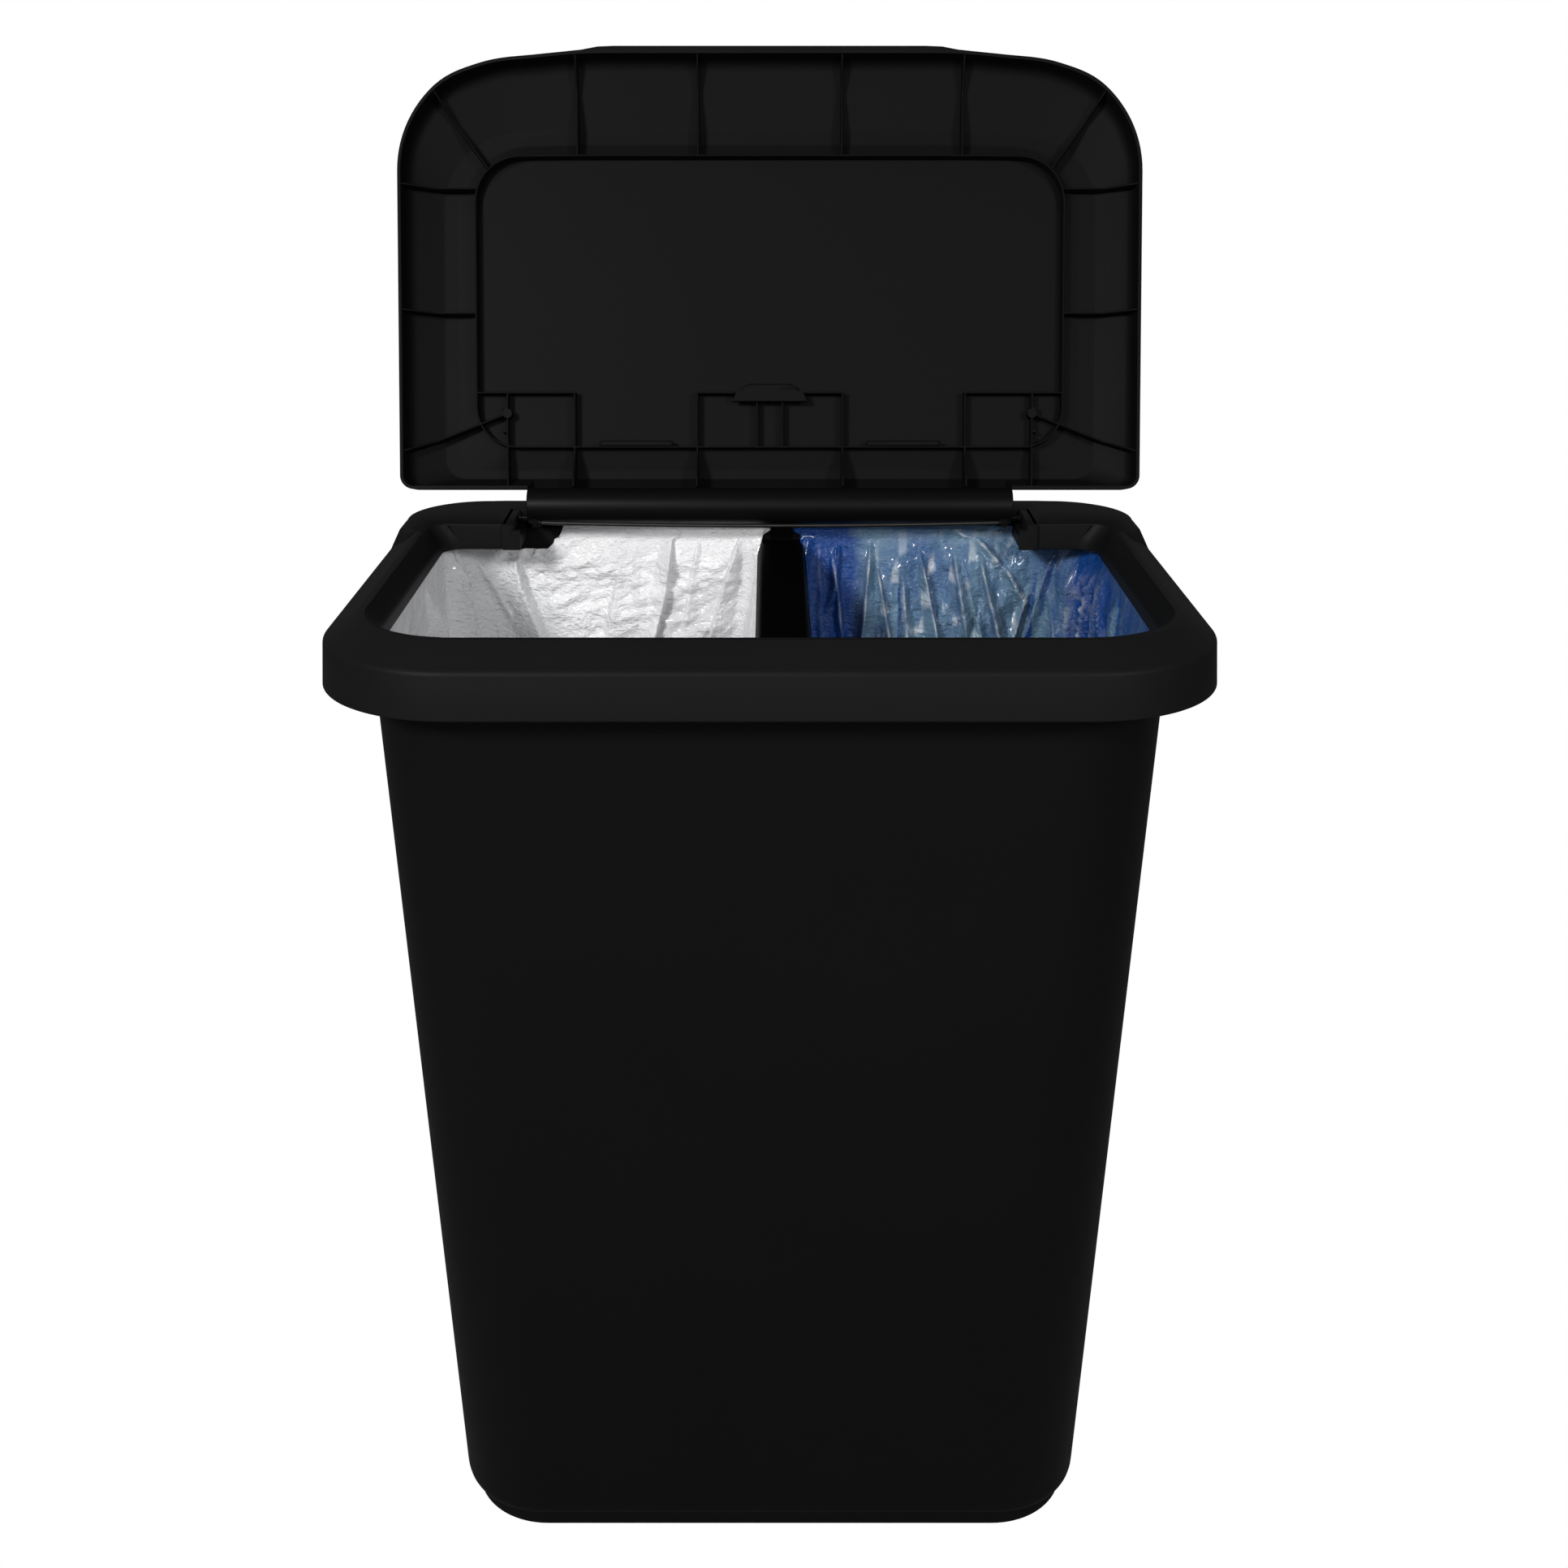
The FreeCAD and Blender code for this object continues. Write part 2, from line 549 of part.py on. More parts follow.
def slab_between(x0, y0, x1, y1):
    """Upright rib-thick slab from one plan point to another."""
    length = math.hypot(x1 - x0, y1 - y0)
    nx, ny = -(y1 - y0) / length * RIB / 2, (x1 - x0) / length * RIB / 2
    z = LID_HEM - 1
    return prism([(x0 - nx, y0 - ny, z), (x1 - nx, y1 - ny, z), (x1 + nx, y1 + ny, z), (x0 + nx, y0 + ny, z)],
                 (0, 0, LID_RISE + 2))


def ring_corners():
    """Half width, front and rear of the ring rib."""
    return HALF_WIDTH - RING_SIDE, -HALF_DEPTH + LID_FRONT_SET + RING_FRONT, AXIS_Y - RING_REAR


def radial_slabs():
    """Ribs from the lid's hem to its ring, on one side; the other side mirrors them."""
    half, front, rear = ring_corners()
    hem_front = -HALF_DEPTH
    slabs = [slab_between(x, hem_front, x, front) for x in FRONT_RIBS]
    slabs += [slab_between(half, AXIS_Y - s, HALF_WIDTH, AXIS_Y - s) for s in SIDE_RIBS]
    hem_in, ring_in = FRONT_CORNER * (1 - math.sqrt(0.5)), RING_CORNER * 0.4
    slabs.append(slab_between(HALF_WIDTH - hem_in, hem_front + hem_in, half - ring_in, front + ring_in))
    slabs.append(slab_between(POST, AXIS_Y - 78.5, HALF_WIDTH, AXIS_Y - 48.5))
    return slabs


def ring_rib():
    half, front, rear = ring_corners()
    low, high = LID_HEM + RIB_EDGE, LID_HEM + LID_RISE

    def ring(z, inset):
        corner = RING_CORNER - inset
        return even(z, half - inset, front + inset, rear - inset, corner, corner - 4)
    return loft(ring(low, 0), ring(high, 0)).cut(loft(ring(low - 1, RIB), ring(high + 1, RIB)))


def box_slabs():
    """Hinge boxes on one side: cross ribs, legs, post and stay."""
    front = AXIS_Y - BOX_FRONT
    half = HALF_WIDTH - RING_SIDE
    return [
        slab_between(OUTER_LEG + 2, front, half, front),
        slab_between(0, front, INNER_LEG - 3, front),
        slab_between(POST, AXIS_Y - 22, POST, front),
        slab_between(STAY_OFFSET, AXIS_Y - RING_REAR, STAY_OFFSET, front),
    ]


def leg(x):
    """Deep rib that carries the barrel: its free edge dips from the ribs' level down to the hinge."""
    low, level, high = LID_HEM + LEG_EDGE, LID_HEM + RIB_EDGE, LID_HEM + LID_RISE
    front, rear = AXIS_Y - BOX_FRONT, AXIS_Y - HOOD_REAR
    side = [(front, level), (AXIS_Y - RING_REAR + 4, level), (AXIS_Y - 30, low), (rear, low), (rear, high),
            (front, high)]
    return prism([(x - RIB / 2, y, z) for y, z in side], (RIB, 0, 0))


def small_details():
    """Post nibs and boss, the ring's tab and the catch plate's half, on one side."""
    high = LID_HEM + LID_RISE - LID_WALL / 2
    level = LID_HEM + RIB_EDGE
    parts = []
    for y in (AXIS_Y - 82.4, AXIS_Y - 65.4):
        parts.append(box(POST, POST + RIB / 2 + 2.5, y - 1.2, y + 1.2, level, high))
    parts.append(Part.makeCylinder(3.4, high - level, FreeCAD.Vector(POST, AXIS_Y - 78.5, level)))
    tab_rear = AXIS_Y - RING_REAR - 1
    parts.append(box(TAB_NEAR, TAB_FAR, tab_rear - TAB_THICK, tab_rear, level, high))
    catch_y = AXIS_Y - BOX_FRONT
    catch = [(0, high), (CATCH_HALF, high), (CATCH_HALF - 4, level - CATCH_DROP), (0, level - CATCH_DROP)]
    parts.append(prism([(x, catch_y - 2, z) for x, z in catch], (0, 3.4, 0)))
    hood = Part.makeCylinder(21.0, 4.0, FreeCAD.Vector(0, catch_y, high - 4))
    parts.append(hood.common(box(0, 30, catch_y - 12.5, catch_y, high - 4, high)))
    return parts


def front_lip():
    """Finger lip along the middle of the lid's front hem."""
    y = -HALF_DEPTH + LID_FRONT_SET
    full = LIP_HALF - LIP_RAMP
    plan = [(-LIP_HALF, y, LID_HEM), (-full, y - LIP_PROUD, LID_HEM), (full, y - LIP_PROUD, LID_HEM),
            (LIP_HALF, y, LID_HEM), (LIP_HALF, y + LID_WALL, LID_HEM), (-LIP_HALF, y + LID_WALL, LID_HEM)]
    return prism(plan, (0, 0, LIP_HEIGHT))


def hood():
    """Rear of the panel over the barrel, with the short apron that meets the barrel."""
    half = BARREL_LENGTH / 2 - 0.5
    rear = AXIS_Y - HOOD_REAR
    top = LID_HEM + LID_RISE
    panel = box(-half, half, AXIS_Y - LID_REAR - 16, rear, top - LID_WALL, top)
    apron = box(-half, half, rear - LID_WALL, rear, AXIS_Z, top)
    return joined([panel, apron])


def barrel_centre():
    """Barrel's centre while the lid is shut, as y and z."""
    turn = math.radians(OPEN_ANGLE)
    return AXIS_Y - BARREL_OFFSET * math.sin(turn), AXIS_Z + BARREL_OFFSET * math.cos(turn)


def lid_clearance():
    """What the lid keeps clear of when shut: the collar's bevel, its deck, and the barrel."""
    lift = 0.5
    bevel = loft(collar_outline(CREASE + lift - 4, -4 * BEVEL_RUN / CREASE_DROP, 0),
                 collar_outline(DECK_HEIGHT + lift, BEVEL_RUN, 0))
    deck_front, deck_top = OPENING_REAR - SHOULDER_RUN - 2, DECK_HEIGHT + REAR_CLEAR
    sides = []
    profile = [(deck_front - 14, HEM), (deck_front - 14, LID_HEM - 0.1), (deck_front, deck_top),
               (HALF_DEPTH, deck_top), (HALF_DEPTH, HEM)]
    for x0, x1 in ((-HALF_WIDTH - 5, -RECESS_HALF + 1), (RECESS_HALF - 1, HALF_WIDTH + 5)):
        sides.append(prism([(x0, y, z) for y, z in profile], (x1 - x0, 0, 0)))
    y, z = barrel_centre()
    barrel = rod_along_x(-BARREL_LENGTH / 2 - 5, BARREL_LENGTH / 2 + 5, y, z, BARREL_RADIUS + 0.15)
    return [bevel, barrel] + sides


def open_up(shape):
    """Swing a piece drawn with the lid shut up to where the lid rests open."""
    shape.rotate(FreeCAD.Vector(0, AXIS_Y, AXIS_Z), FreeCAD.Vector(1, 0, 0), -OPEN_ANGLE)
    return shape


def both_sides(shapes):
    return shapes + [mirrored(s) for s in shapes]


def make_lid():
    dome = lid_dome(0, 0)
    cavity = lid_dome(LID_WALL, LID_WALL)
    ribs = joined(both_sides(radial_slabs() + box_slabs())).common(cavity).cut(rib_room())
    hinge_room = box(-HALF_WIDTH, HALF_WIDTH, AXIS_Y - BOX_FRONT, AXIS_Y, LID_HEM, LID_HEM + LID_RISE - 0.5)
    legs = joined(both_sides([leg(INNER_LEG), leg(OUTER_LEG)])).common(joined([cavity, hinge_room]))
    rear_gap = box(-BARREL_LENGTH / 2, BARREL_LENGTH / 2, AXIS_Y - LID_REAR - 6, AXIS_Y, HEM,
                   LID_HEM + LID_RISE - LID_WALL)
    shell = dome.cut(cavity).cut(rear_gap)
    detail = joined(both_sides(small_details()))
    ring = ring_rib().common(cavity)
    lid = joined([shell, hood(), front_lip(), ring, ribs, legs, detail])
    for blocked in lid_clearance():
        lid = lid.cut(blocked)
    return open_up(lid)


# ---------------------------------------------------------------- hinge

def make_barrel():
    """Hollow barrel, with a solid cap at each end bored off-centre for its pin."""
    y, z = AXIS_Y, AXIS_Z + BARREL_OFFSET
    half = BARREL_LENGTH / 2
    barrel = rod_along_x(-half, half, y, z, BARREL_RADIUS)
    barrel = barrel.makeChamfer(1.0, [e for e in barrel.Edges if e.BoundBox.XLength < 0.01])
    hollow = rod_along_x(-half + BARREL_CAP, half - BARREL_CAP, y, z, BARREL_RADIUS - BARREL_WALL)
    bores = rod_along_x(-half - 1, half + 1, AXIS_Y, AXIS_Z, PIN_RADIUS + PIN_PLAY)
    return barrel.cut(hollow).cut(bores)


def make_pin(side):
    """Pivot pin, held in the collar's boss and turning in the barrel's cap, with a ring on it."""
    start = BARREL_LENGTH / 2 - PIN_ENGAGED
    end = SLOT_OUTER + BOSS_LENGTH - 2
    middle = (BARREL_LENGTH / 2 + SLOT_OUTER) / 2
    pin = joined([rod_along_x(start, end, AXIS_Y, AXIS_Z, PIN_RADIUS),
                  rod_along_x(middle - PIN_RING / 2, middle + PIN_RING / 2, AXIS_Y, AXIS_Z, PIN_RING_RADIUS)])
    return pin if side > 0 else mirrored(pin)


def rod_point(x):
    """Middle of the bowed rod at x, with the lid open."""
    sag = ROD_SAG * (1 - (x / ROD_HALF) ** 2)
    return FreeCAD.Vector(x, AXIS_Y - ROD_FORWARD, AXIS_Z - ROD_DROP - sag)


def make_rod():
    """Steel tie rod, bowed under the barrel's front."""
    path = Part.Arc(rod_point(-ROD_HALF), rod_point(0), rod_point(ROD_HALF)).toShape()
    start = rod_point(-ROD_HALF)
    section = Part.Wire([Part.makeCircle(ROD_RADIUS, start, path.tangentAt(path.FirstParameter))])
    return Part.Wire([path]).makePipeShell([section], True, True)


def barrel_face(grow):
    half = BARREL_LENGTH / 2
    return rod_along_x(-half, half, AXIS_Y, AXIS_Z + BARREL_OFFSET, BARREL_RADIUS + grow)


def make_clip(side):
    """Block on the barrel's face that holds the rod's end."""
    x1 = ROD_HALF + CLIP_LENGTH / 2
    centre = rod_point(ROD_HALF)
    clip = box(x1 - CLIP_LENGTH, x1, centre.y - CLIP_DEPTH / 2, centre.y + CLIP_DEPTH,
               centre.z - CLIP_WIDTH / 2, centre.z + CLIP_WIDTH / 2)
    hole = rod_along_x(x1 - CLIP_LENGTH - 1, ROD_HALF + 0.5, centre.y, centre.z, ROD_RADIUS + PIN_PLAY)
    clip = clip.cut(barrel_face(0.1)).cut(hole)
    return clip if side > 0 else mirrored(clip)


def make_rod_ring(side):
    """Small stop ring on the rod beside the clip, flattened where it meets the barrel."""
    x1 = ROD_HALF - CLIP_LENGTH / 2 - 0.3
    centre = rod_point(x1)
    ring = rod_along_x(x1 - ROD_RING, x1, centre.y, centre.z, ROD_RING_RADIUS)
    ring = ring.cut(rod_along_x(x1 - ROD_RING - 1, x1 + 1, centre.y, centre.z, ROD_RADIUS + PIN_PLAY))
    ring = ring.cut(barrel_face(0.1))
    return ring if side > 0 else mirrored(ring)


PIECES = {
    "body_tub": make_tub,
    "divider_panel": make_divider,
    "liner_white": lambda: make_bag(-1),
    "liner_blue": lambda: make_bag(1),
    "collar_frame": make_collar,
    "hinge_pin_left": lambda: make_pin(-1),
    "hinge_pin_right": lambda: make_pin(1),
    "lid_shell": make_lid,
    "hinge_barrel": make_barrel,
    "hinge_rod": make_rod,
    "rod_clip_left": lambda: make_clip(-1),
    "rod_clip_right": lambda: make_clip(1),
    "rod_ring_left": lambda: make_rod_ring(-1),
    "rod_ring_right": lambda: make_rod_ring(1),
}


def main():
    os.makedirs("parts", exist_ok=True)
    for name, make in PIECES.items():
        shape = make()
        solids = shape.Solids
        print(name, "solids", len(solids), "valid", shape.isValid(), "volume", round(shape.Volume))
        piece = solids[0] if len(solids) == 1 else Part.makeCompound(solids)
        piece.exportStep("parts/" + name + ".step")


main()
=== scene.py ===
"""Double recycling bin with its lid open: moulded pieces, film bags, finishes and a plain studio."""

import json
import logging
import math
from dataclasses import dataclass, field
from enum import Enum
from typing import Any, Sequence, Union

import bmesh
import bpy
import numpy as np
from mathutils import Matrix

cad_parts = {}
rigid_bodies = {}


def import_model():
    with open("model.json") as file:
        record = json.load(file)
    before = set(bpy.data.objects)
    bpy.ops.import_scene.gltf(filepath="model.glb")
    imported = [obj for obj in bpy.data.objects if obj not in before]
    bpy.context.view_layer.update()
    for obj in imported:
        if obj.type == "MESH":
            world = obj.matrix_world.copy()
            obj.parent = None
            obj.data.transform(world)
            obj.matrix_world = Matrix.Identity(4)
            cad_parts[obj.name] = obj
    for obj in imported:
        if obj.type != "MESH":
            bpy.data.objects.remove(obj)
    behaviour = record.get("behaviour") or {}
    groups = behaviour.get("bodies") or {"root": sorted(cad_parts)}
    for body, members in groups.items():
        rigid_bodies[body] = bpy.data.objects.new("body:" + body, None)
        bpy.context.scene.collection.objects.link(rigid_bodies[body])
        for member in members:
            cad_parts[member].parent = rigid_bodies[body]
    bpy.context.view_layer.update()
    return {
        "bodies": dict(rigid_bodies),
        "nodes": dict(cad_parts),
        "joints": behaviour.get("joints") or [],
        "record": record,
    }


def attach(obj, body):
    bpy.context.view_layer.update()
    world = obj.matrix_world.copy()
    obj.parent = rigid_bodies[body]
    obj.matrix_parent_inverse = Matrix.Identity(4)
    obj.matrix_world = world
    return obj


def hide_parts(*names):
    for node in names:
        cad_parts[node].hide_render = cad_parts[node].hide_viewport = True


Array = np.ndarray
Number = Union[float, "Wire"]
Span = tuple[float, float]
Colour = tuple[float, float, float]
Place = tuple[float, float, float]
log = logging.getLogger("recycling_bin")


class Side(Enum):
    """Side of the bin, as it is seen from the front."""

    LEFT = -1
    RIGHT = 1


# ---------------------------------------------------------------- outlines and surfaces


def unit(values: Array) -> Array:
    """Values held between 0 and 1."""
    return np.clip(values, 0, 1)


def smooth_step(values: Array) -> Array:
    """Values held between 0 and 1, with a level start and end: 3 v^2 - 2 v^3."""
    share = unit(values)
    return share * share * (3 - 2 * share)


@dataclass(frozen=True)
class Sampling:
    """Points that an outline gets on each corner and along its front, right, back and left sides.

    The corners are front left, front right, back right and back left, each times finer points.
    """

    arc: int = 16
    sides: tuple[int, int, int, int] = (14, 12, 14, 12)
    finer: tuple[int, int, int, int] = (1, 1, 1, 1)


def level(z: float, half: float, front: float, back: float, front_corner: float, back_corner: float,
          middle: float = 0.0) -> Array:
    """Rounded rectangle at one height, as the row of numbers that ring_points reads.

    Args:
        z: Height of the outline.
        half: Half of its width.
        front: Its front edge along Y.
        back: Its back edge along Y.
        front_corner: Radius of both front corners.
        back_corner: Radius of both back corners.
        middle: X of its middle line.

    Returns:
        Nine numbers: z, left, right, front, back and the four corner radii.
    """
    return np.array([z, middle - half, middle + half, front, back,
                     front_corner, front_corner, back_corner, back_corner])


def ring_points(levels: Array, sampling: Sampling) -> Array:
    """Points of a stack of rounded rectangles.

    Corner i is centre_i + radius_i * (cos a, sin a), with a over a quarter turn, and the straight
    sides run evenly from the end of one arc to the start of the next.

    Args:
        levels: Rows as level gives them, (K, 9).
        sampling: Points on each arc and side.

    Returns:
        Points of shape (K, N, 3), counter-clockwise from the front left corner.
    """
    z, left, right, front, back, fl, fr, br, bl = levels.T
    corners = ((left + fl, front + fl, fl, 180), (right - fr, front + fr, fr, 270),
               (right - br, back - br, br, 0), (left + bl, back - bl, bl, 90))
    arcs = []
    for (x, y, radius, start), finer in zip(corners, sampling.finer):
        turn = np.radians(start + np.linspace(0, 90, sampling.arc * finer))
        arcs.append(np.stack([x[:, None] + radius[:, None] * np.cos(turn),
                              y[:, None] + radius[:, None] * np.sin(turn)], axis=-1))
    spans = []
    for i, count in enumerate(sampling.sides):
        start, stop = arcs[i][:, -1:], arcs[(i + 1) % 4][:, :1]
        share = np.linspace(0, 1, count + 2)[1:-1, None]
        spans += [arcs[i], start + (stop - start) * share]
    plan = np.concatenate(spans, axis=1)
    heights = np.broadcast_to(z[:, None, None], plan.shape[:2] + (1,))
    return np.concatenate([plan, heights], axis=2)


def eased(levels: Sequence[Array], reaches: Sequence[float], steps: int = 4) -> Array:
    """Rounds the corners of a profile or of a stack of levels.

    Row p with reach r becomes (1-t)^2 a + 2t(1-t) p + t^2 b for t from 0 to 1, where a and b lie at
    distance r from p towards its neighbours. A reach of 0 keeps the row.

    Args:
        levels: Rows in order.
        reaches: One reach for each row; the first and last are not read.
        steps: Spans on each rounded corner.

    Returns:
        The longer stack of rows.
    """
    rows = [levels[0]]
    t = np.linspace(0, 1, steps + 1)[:, None]
    for before, p, after, reach in zip(levels, levels[1:], levels[2:], reaches[1:]):
        if reach <= 0:
            rows.append(p)
            continue
        a = p + (before - p) * min(0.49, reach / max(np.abs(before - p).max(), 1e-9))
        b = p + (after - p) * min(0.49, reach / max(np.abs(after - p).max(), 1e-9))
        rows.extend((1 - t) ** 2 * a + 2 * t * (1 - t) * p + t ** 2 * b)
    rows.append(levels[-1])
    return np.array(rows)


@dataclass
class Patch:
    """Grid of points, (rows, columns, 3), that becomes quads."""

    points: Array
    wrap_rows: bool = False
    wrap_columns: bool = False

    def quads(self, offset: int) -> Array:
        """Corner indices of the grid's quads, counted from offset."""
        rows, columns = self.points.shape[:2]
        index = np.arange(rows * columns).reshape(rows, columns) + offset
        if self.wrap_columns:
            index = np.concatenate([index, index[:, :1]], axis=1)
        if self.wrap_rows:
            index = np.concatenate([index, index[:1]], axis=0)
        corners = [index[:-1, :-1], index[:-1, 1:], index[1:, 1:], index[1:, :-1]]
        return np.stack(corners, axis=-1).reshape(-1, 4)


def cap(ring: Array, rings: int = 1) -> Patch:
    """Closes a ring with shrinking copies of itself: ring + (centre - ring) * share."""
    centre = ring.mean(axis=0)
    share = np.linspace(0, 1, rings + 1)[:, None, None]
    return Patch(ring + (centre - ring) * share, wrap_columns=True)


def closed_stack(levels: Array, sampling: Sampling) -> list[Patch]:
    """Surface through a stack of levels, closed at its first and last level."""
    points = ring_points(levels, sampling)
    return [Patch(points, wrap_columns=True), cap(points[0]), cap(points[-1])]


def block(x: Span, y: Span, z: Span, ease: float = 0.0005) -> list[Patch]:
    """Box with rounded edges, as a short stack of levels."""
    middle, half = sum(x) / 2, (x[1] - x[0]) / 2
    rows = []
    for height, inset in ((z[0], ease), (z[0] + ease, 0.0), (z[1] - ease, 0.0), (z[1], ease)):
        rows.append(level(height, half - inset, y[0] + inset, y[1] - inset, ease, ease, middle))
    return closed_stack(np.array(rows), Sampling(3, (1, 1, 1, 1)))


def rib(path: Array, top: Array, low: Array, thick: float, closed: bool = False) -> Patch:
    """Thin upright wall along a path in plan, with a rounded free edge.

    At each point of the path the section is two sides, thick apart at the top and a little less at
    the free edge, joined there by a half round.

    Args:
        path: Points in plan, (n, 2).
        top: Height of the root at each point, inside the wall that carries the rib.
        low: Height of the free edge at each point.
        thick: Thickness at the root.
        closed: True where the path is a loop.

    Returns:
        The rib's closed surface, as one patch.
    """
    if closed:
        along = np.roll(path, -1, axis=0) - np.roll(path, 1, axis=0)
    else:
        along = np.gradient(path, axis=0)
    along /= np.linalg.norm(along, axis=1)[:, None]
    across = np.stack([-along[:, 1], along[:, 0]], axis=1)
    root, edge = thick / 2, thick * 0.42
    turn = np.radians(np.linspace(0, 180, 6))
    offsets = np.concatenate([[root], edge * np.cos(turn), [-root]])
    drops = np.concatenate([[0.0], edge * (1 - np.sin(turn)), [0.0]])
    base = np.concatenate([[1.0], np.zeros(6), [1.0]])
    plan = path[:, None] + across[:, None] * offsets[None, :, None]
    heights = low[:, None] + drops + (top - low)[:, None] * base
    return Patch(np.concatenate([plan, heights[..., None]], axis=2), wrap_rows=closed, wrap_columns=True)


def ended(patch: Patch) -> list[Patch]:
    """Adds flat ends to an open rib."""
    return [patch, cap(patch.points[0]), cap(patch.points[-1])]


def straight(start: Span, stop: Span, count: int = 24) -> Array:
    """Points in plan from start to stop."""
    share = np.linspace(0, 1, count)[:, None]
    return np.array(start) + (np.array(stop) - np.array(start)) * share


def turned_along_x(profile: Array, y: float, z: float, around: int = 64) -> Patch:
    """Round piece about a line along X: (x, y + r cos a, z + r sin a) for each (x, r) of its profile."""
    turn = np.linspace(0, 2 * np.pi, around, endpoint=False)
    x = np.broadcast_to(profile[:, :1], (len(profile), around))
    radius = profile[:, 1:]
    points = np.stack([x, y + radius * np.cos(turn), z + radius * np.sin(turn)], axis=-1)
    return Patch(points, wrap_columns=True)


def placed(patches: Sequence[Patch], move: Any) -> list[Patch]:
    """Copies of patches with their points moved by a function on (n, 3) arrays."""
    copies = []
    for patch in patches:
        points = move(patch.points.reshape(-1, 3)).reshape(patch.points.shape)
        copies.append(Patch(points, patch.wrap_rows, patch.wrap_columns))
    return copies


def mirrored(patches: Sequence[Patch]) -> list[Patch]:
    """The same patches on the other side of the middle plane, with the side itself kept."""
    return list(patches) + placed(patches, lambda points: points * (-1, 1, 1))


# ---------------------------------------------------------------- shader maths


class Wire:
    """Output socket of a shader node, with the arithmetic that the finishes use."""

    def __init__(self, shader: "Shader", socket: bpy.types.NodeSocket) -> None:
        """Keeps the socket and the shader that owns it."""
        self.shader = shader
        self.socket = socket

    def _math(self, operation: str, first: Number, second: Number) -> "Wire":
        """Adds a Math node for one operation."""
        return self.shader.add("ShaderNodeMath", {"operation": operation}, {0: first, 1: second})

    def __add__(self, other: Number) -> "Wire":
        """Sum."""
        return self._math("ADD", self, other)

    def __radd__(self, other: Number) -> "Wire":
        """Sum, reflected."""
        return self._math("ADD", other, self)

    def __sub__(self, other: Number) -> "Wire":
        """Difference."""
        return self._math("SUBTRACT", self, other)

    def __rsub__(self, other: Number) -> "Wire":
        """Difference, reflected."""
        return self._math("SUBTRACT", other, self)

    def __mul__(self, other: Number) -> "Wire":
        """Product."""
        return self._math("MULTIPLY", self, other)

    def __rmul__(self, other: Number) -> "Wire":
        """Product, reflected."""
        return self._math("MULTIPLY", other, self)

    def __pow__(self, other: Number) -> "Wire":
        """Power."""
        return self._math("POWER", self, other)

    def clamped(self) -> "Wire":
        """The value held between 0 and 1."""
        return self.shader.add("ShaderNodeClamp", {}, {"Value": self})


class Shader:
    """Node tree of one material, with a single way to add a node."""

    def __init__(self, name: str) -> None:
        """Starts a material with one Principled shader."""
        self.material = bpy.data.materials.new(name)
        self.material.use_nodes = True
        self.tree = self.material.node_tree
        self.tree.nodes.clear()
        self.output = self.tree.nodes.new("ShaderNodeOutputMaterial")

    def add(self, kind: str, settings: dict[str, Any], values: dict[Any, Any], out: Any = 0) -> Wire:
        """Adds a node.

        Args:
            kind: Blender's name for the node type.
            settings: Properties set first; "stops" holds a colour ramp's (place, colour) pairs.
            values: Numbers, colours or wires for its input sockets.
            out: Name or number of the output to return.

        Returns:
            The chosen output.
        """
        node = self.tree.nodes.new(kind)
        for key, value in settings.items():
            if key == "stops":
                elements = node.color_ramp.elements
                while len(elements) < len(value):
                    elements.new(0.5)
                for element, (place, colour) in zip(elements, value):
                    element.position, element.color = place, (*colour, 1.0)
            else:
                setattr(node, key, value)
        for key, value in values.items():
            if isinstance(value, Wire):
                self.tree.links.new(value.socket, node.inputs[key])
            else:
                node.inputs[key].default_value = value
        return Wire(self, node.outputs[out])

    def place(self, scale: tuple[float, float, float] = (1.0, 1.0, 1.0)) -> Wire:
        """Object coordinates, stretched by scale."""
        where = self.add("ShaderNodeTexCoord", {}, {}, "Object")
        return self.add("ShaderNodeMapping", {}, {"Vector": where, "Scale": scale})

    def noise(self, where: Wire, scale: float, detail: float = 3.0, roughness: float = 0.55) -> Wire:
        """Noise from 0 to 1 at this many cells a metre."""
        return self.add("ShaderNodeTexNoise", {}, {"Vector": where, "Scale": scale, "Detail": detail,
                                                  "Roughness": roughness}, "Fac")

    def mix(self, share: Number, first: Any, second: Any) -> Wire:
        """Colour between two colours."""
        return self.add("ShaderNodeMix", {"data_type": "RGBA"}, {0: share, 6: first, 7: second}, 2)

    def bump(self, height: Wire, distance: float, strength: float, below: Any = None) -> Wire:
        """Normal from a height, on top of another bump where one is given."""
        values = {"Height": height, "Distance": distance, "Strength": strength}
        if below is not None:
            values["Normal"] = below
        return self.add("ShaderNodeBump", {}, values)

    def surface(self, values: dict[str, Any]) -> bpy.types.Material:
        """Ends the tree in a Principled shader with these inputs, and returns the material."""
        shader = self.add("ShaderNodeBsdfPrincipled", {}, values)
        self.tree.links.new(shader.socket, self.output.inputs["Surface"])
        return self.material


def rgba(colour: Sequence[float], gain: float = 1.0) -> tuple[float, float, float, float]:
    """Opaque colour from three numbers, made lighter or darker by gain."""
    return tuple(min(1.0, c * gain) for c in colour) + (1.0,)


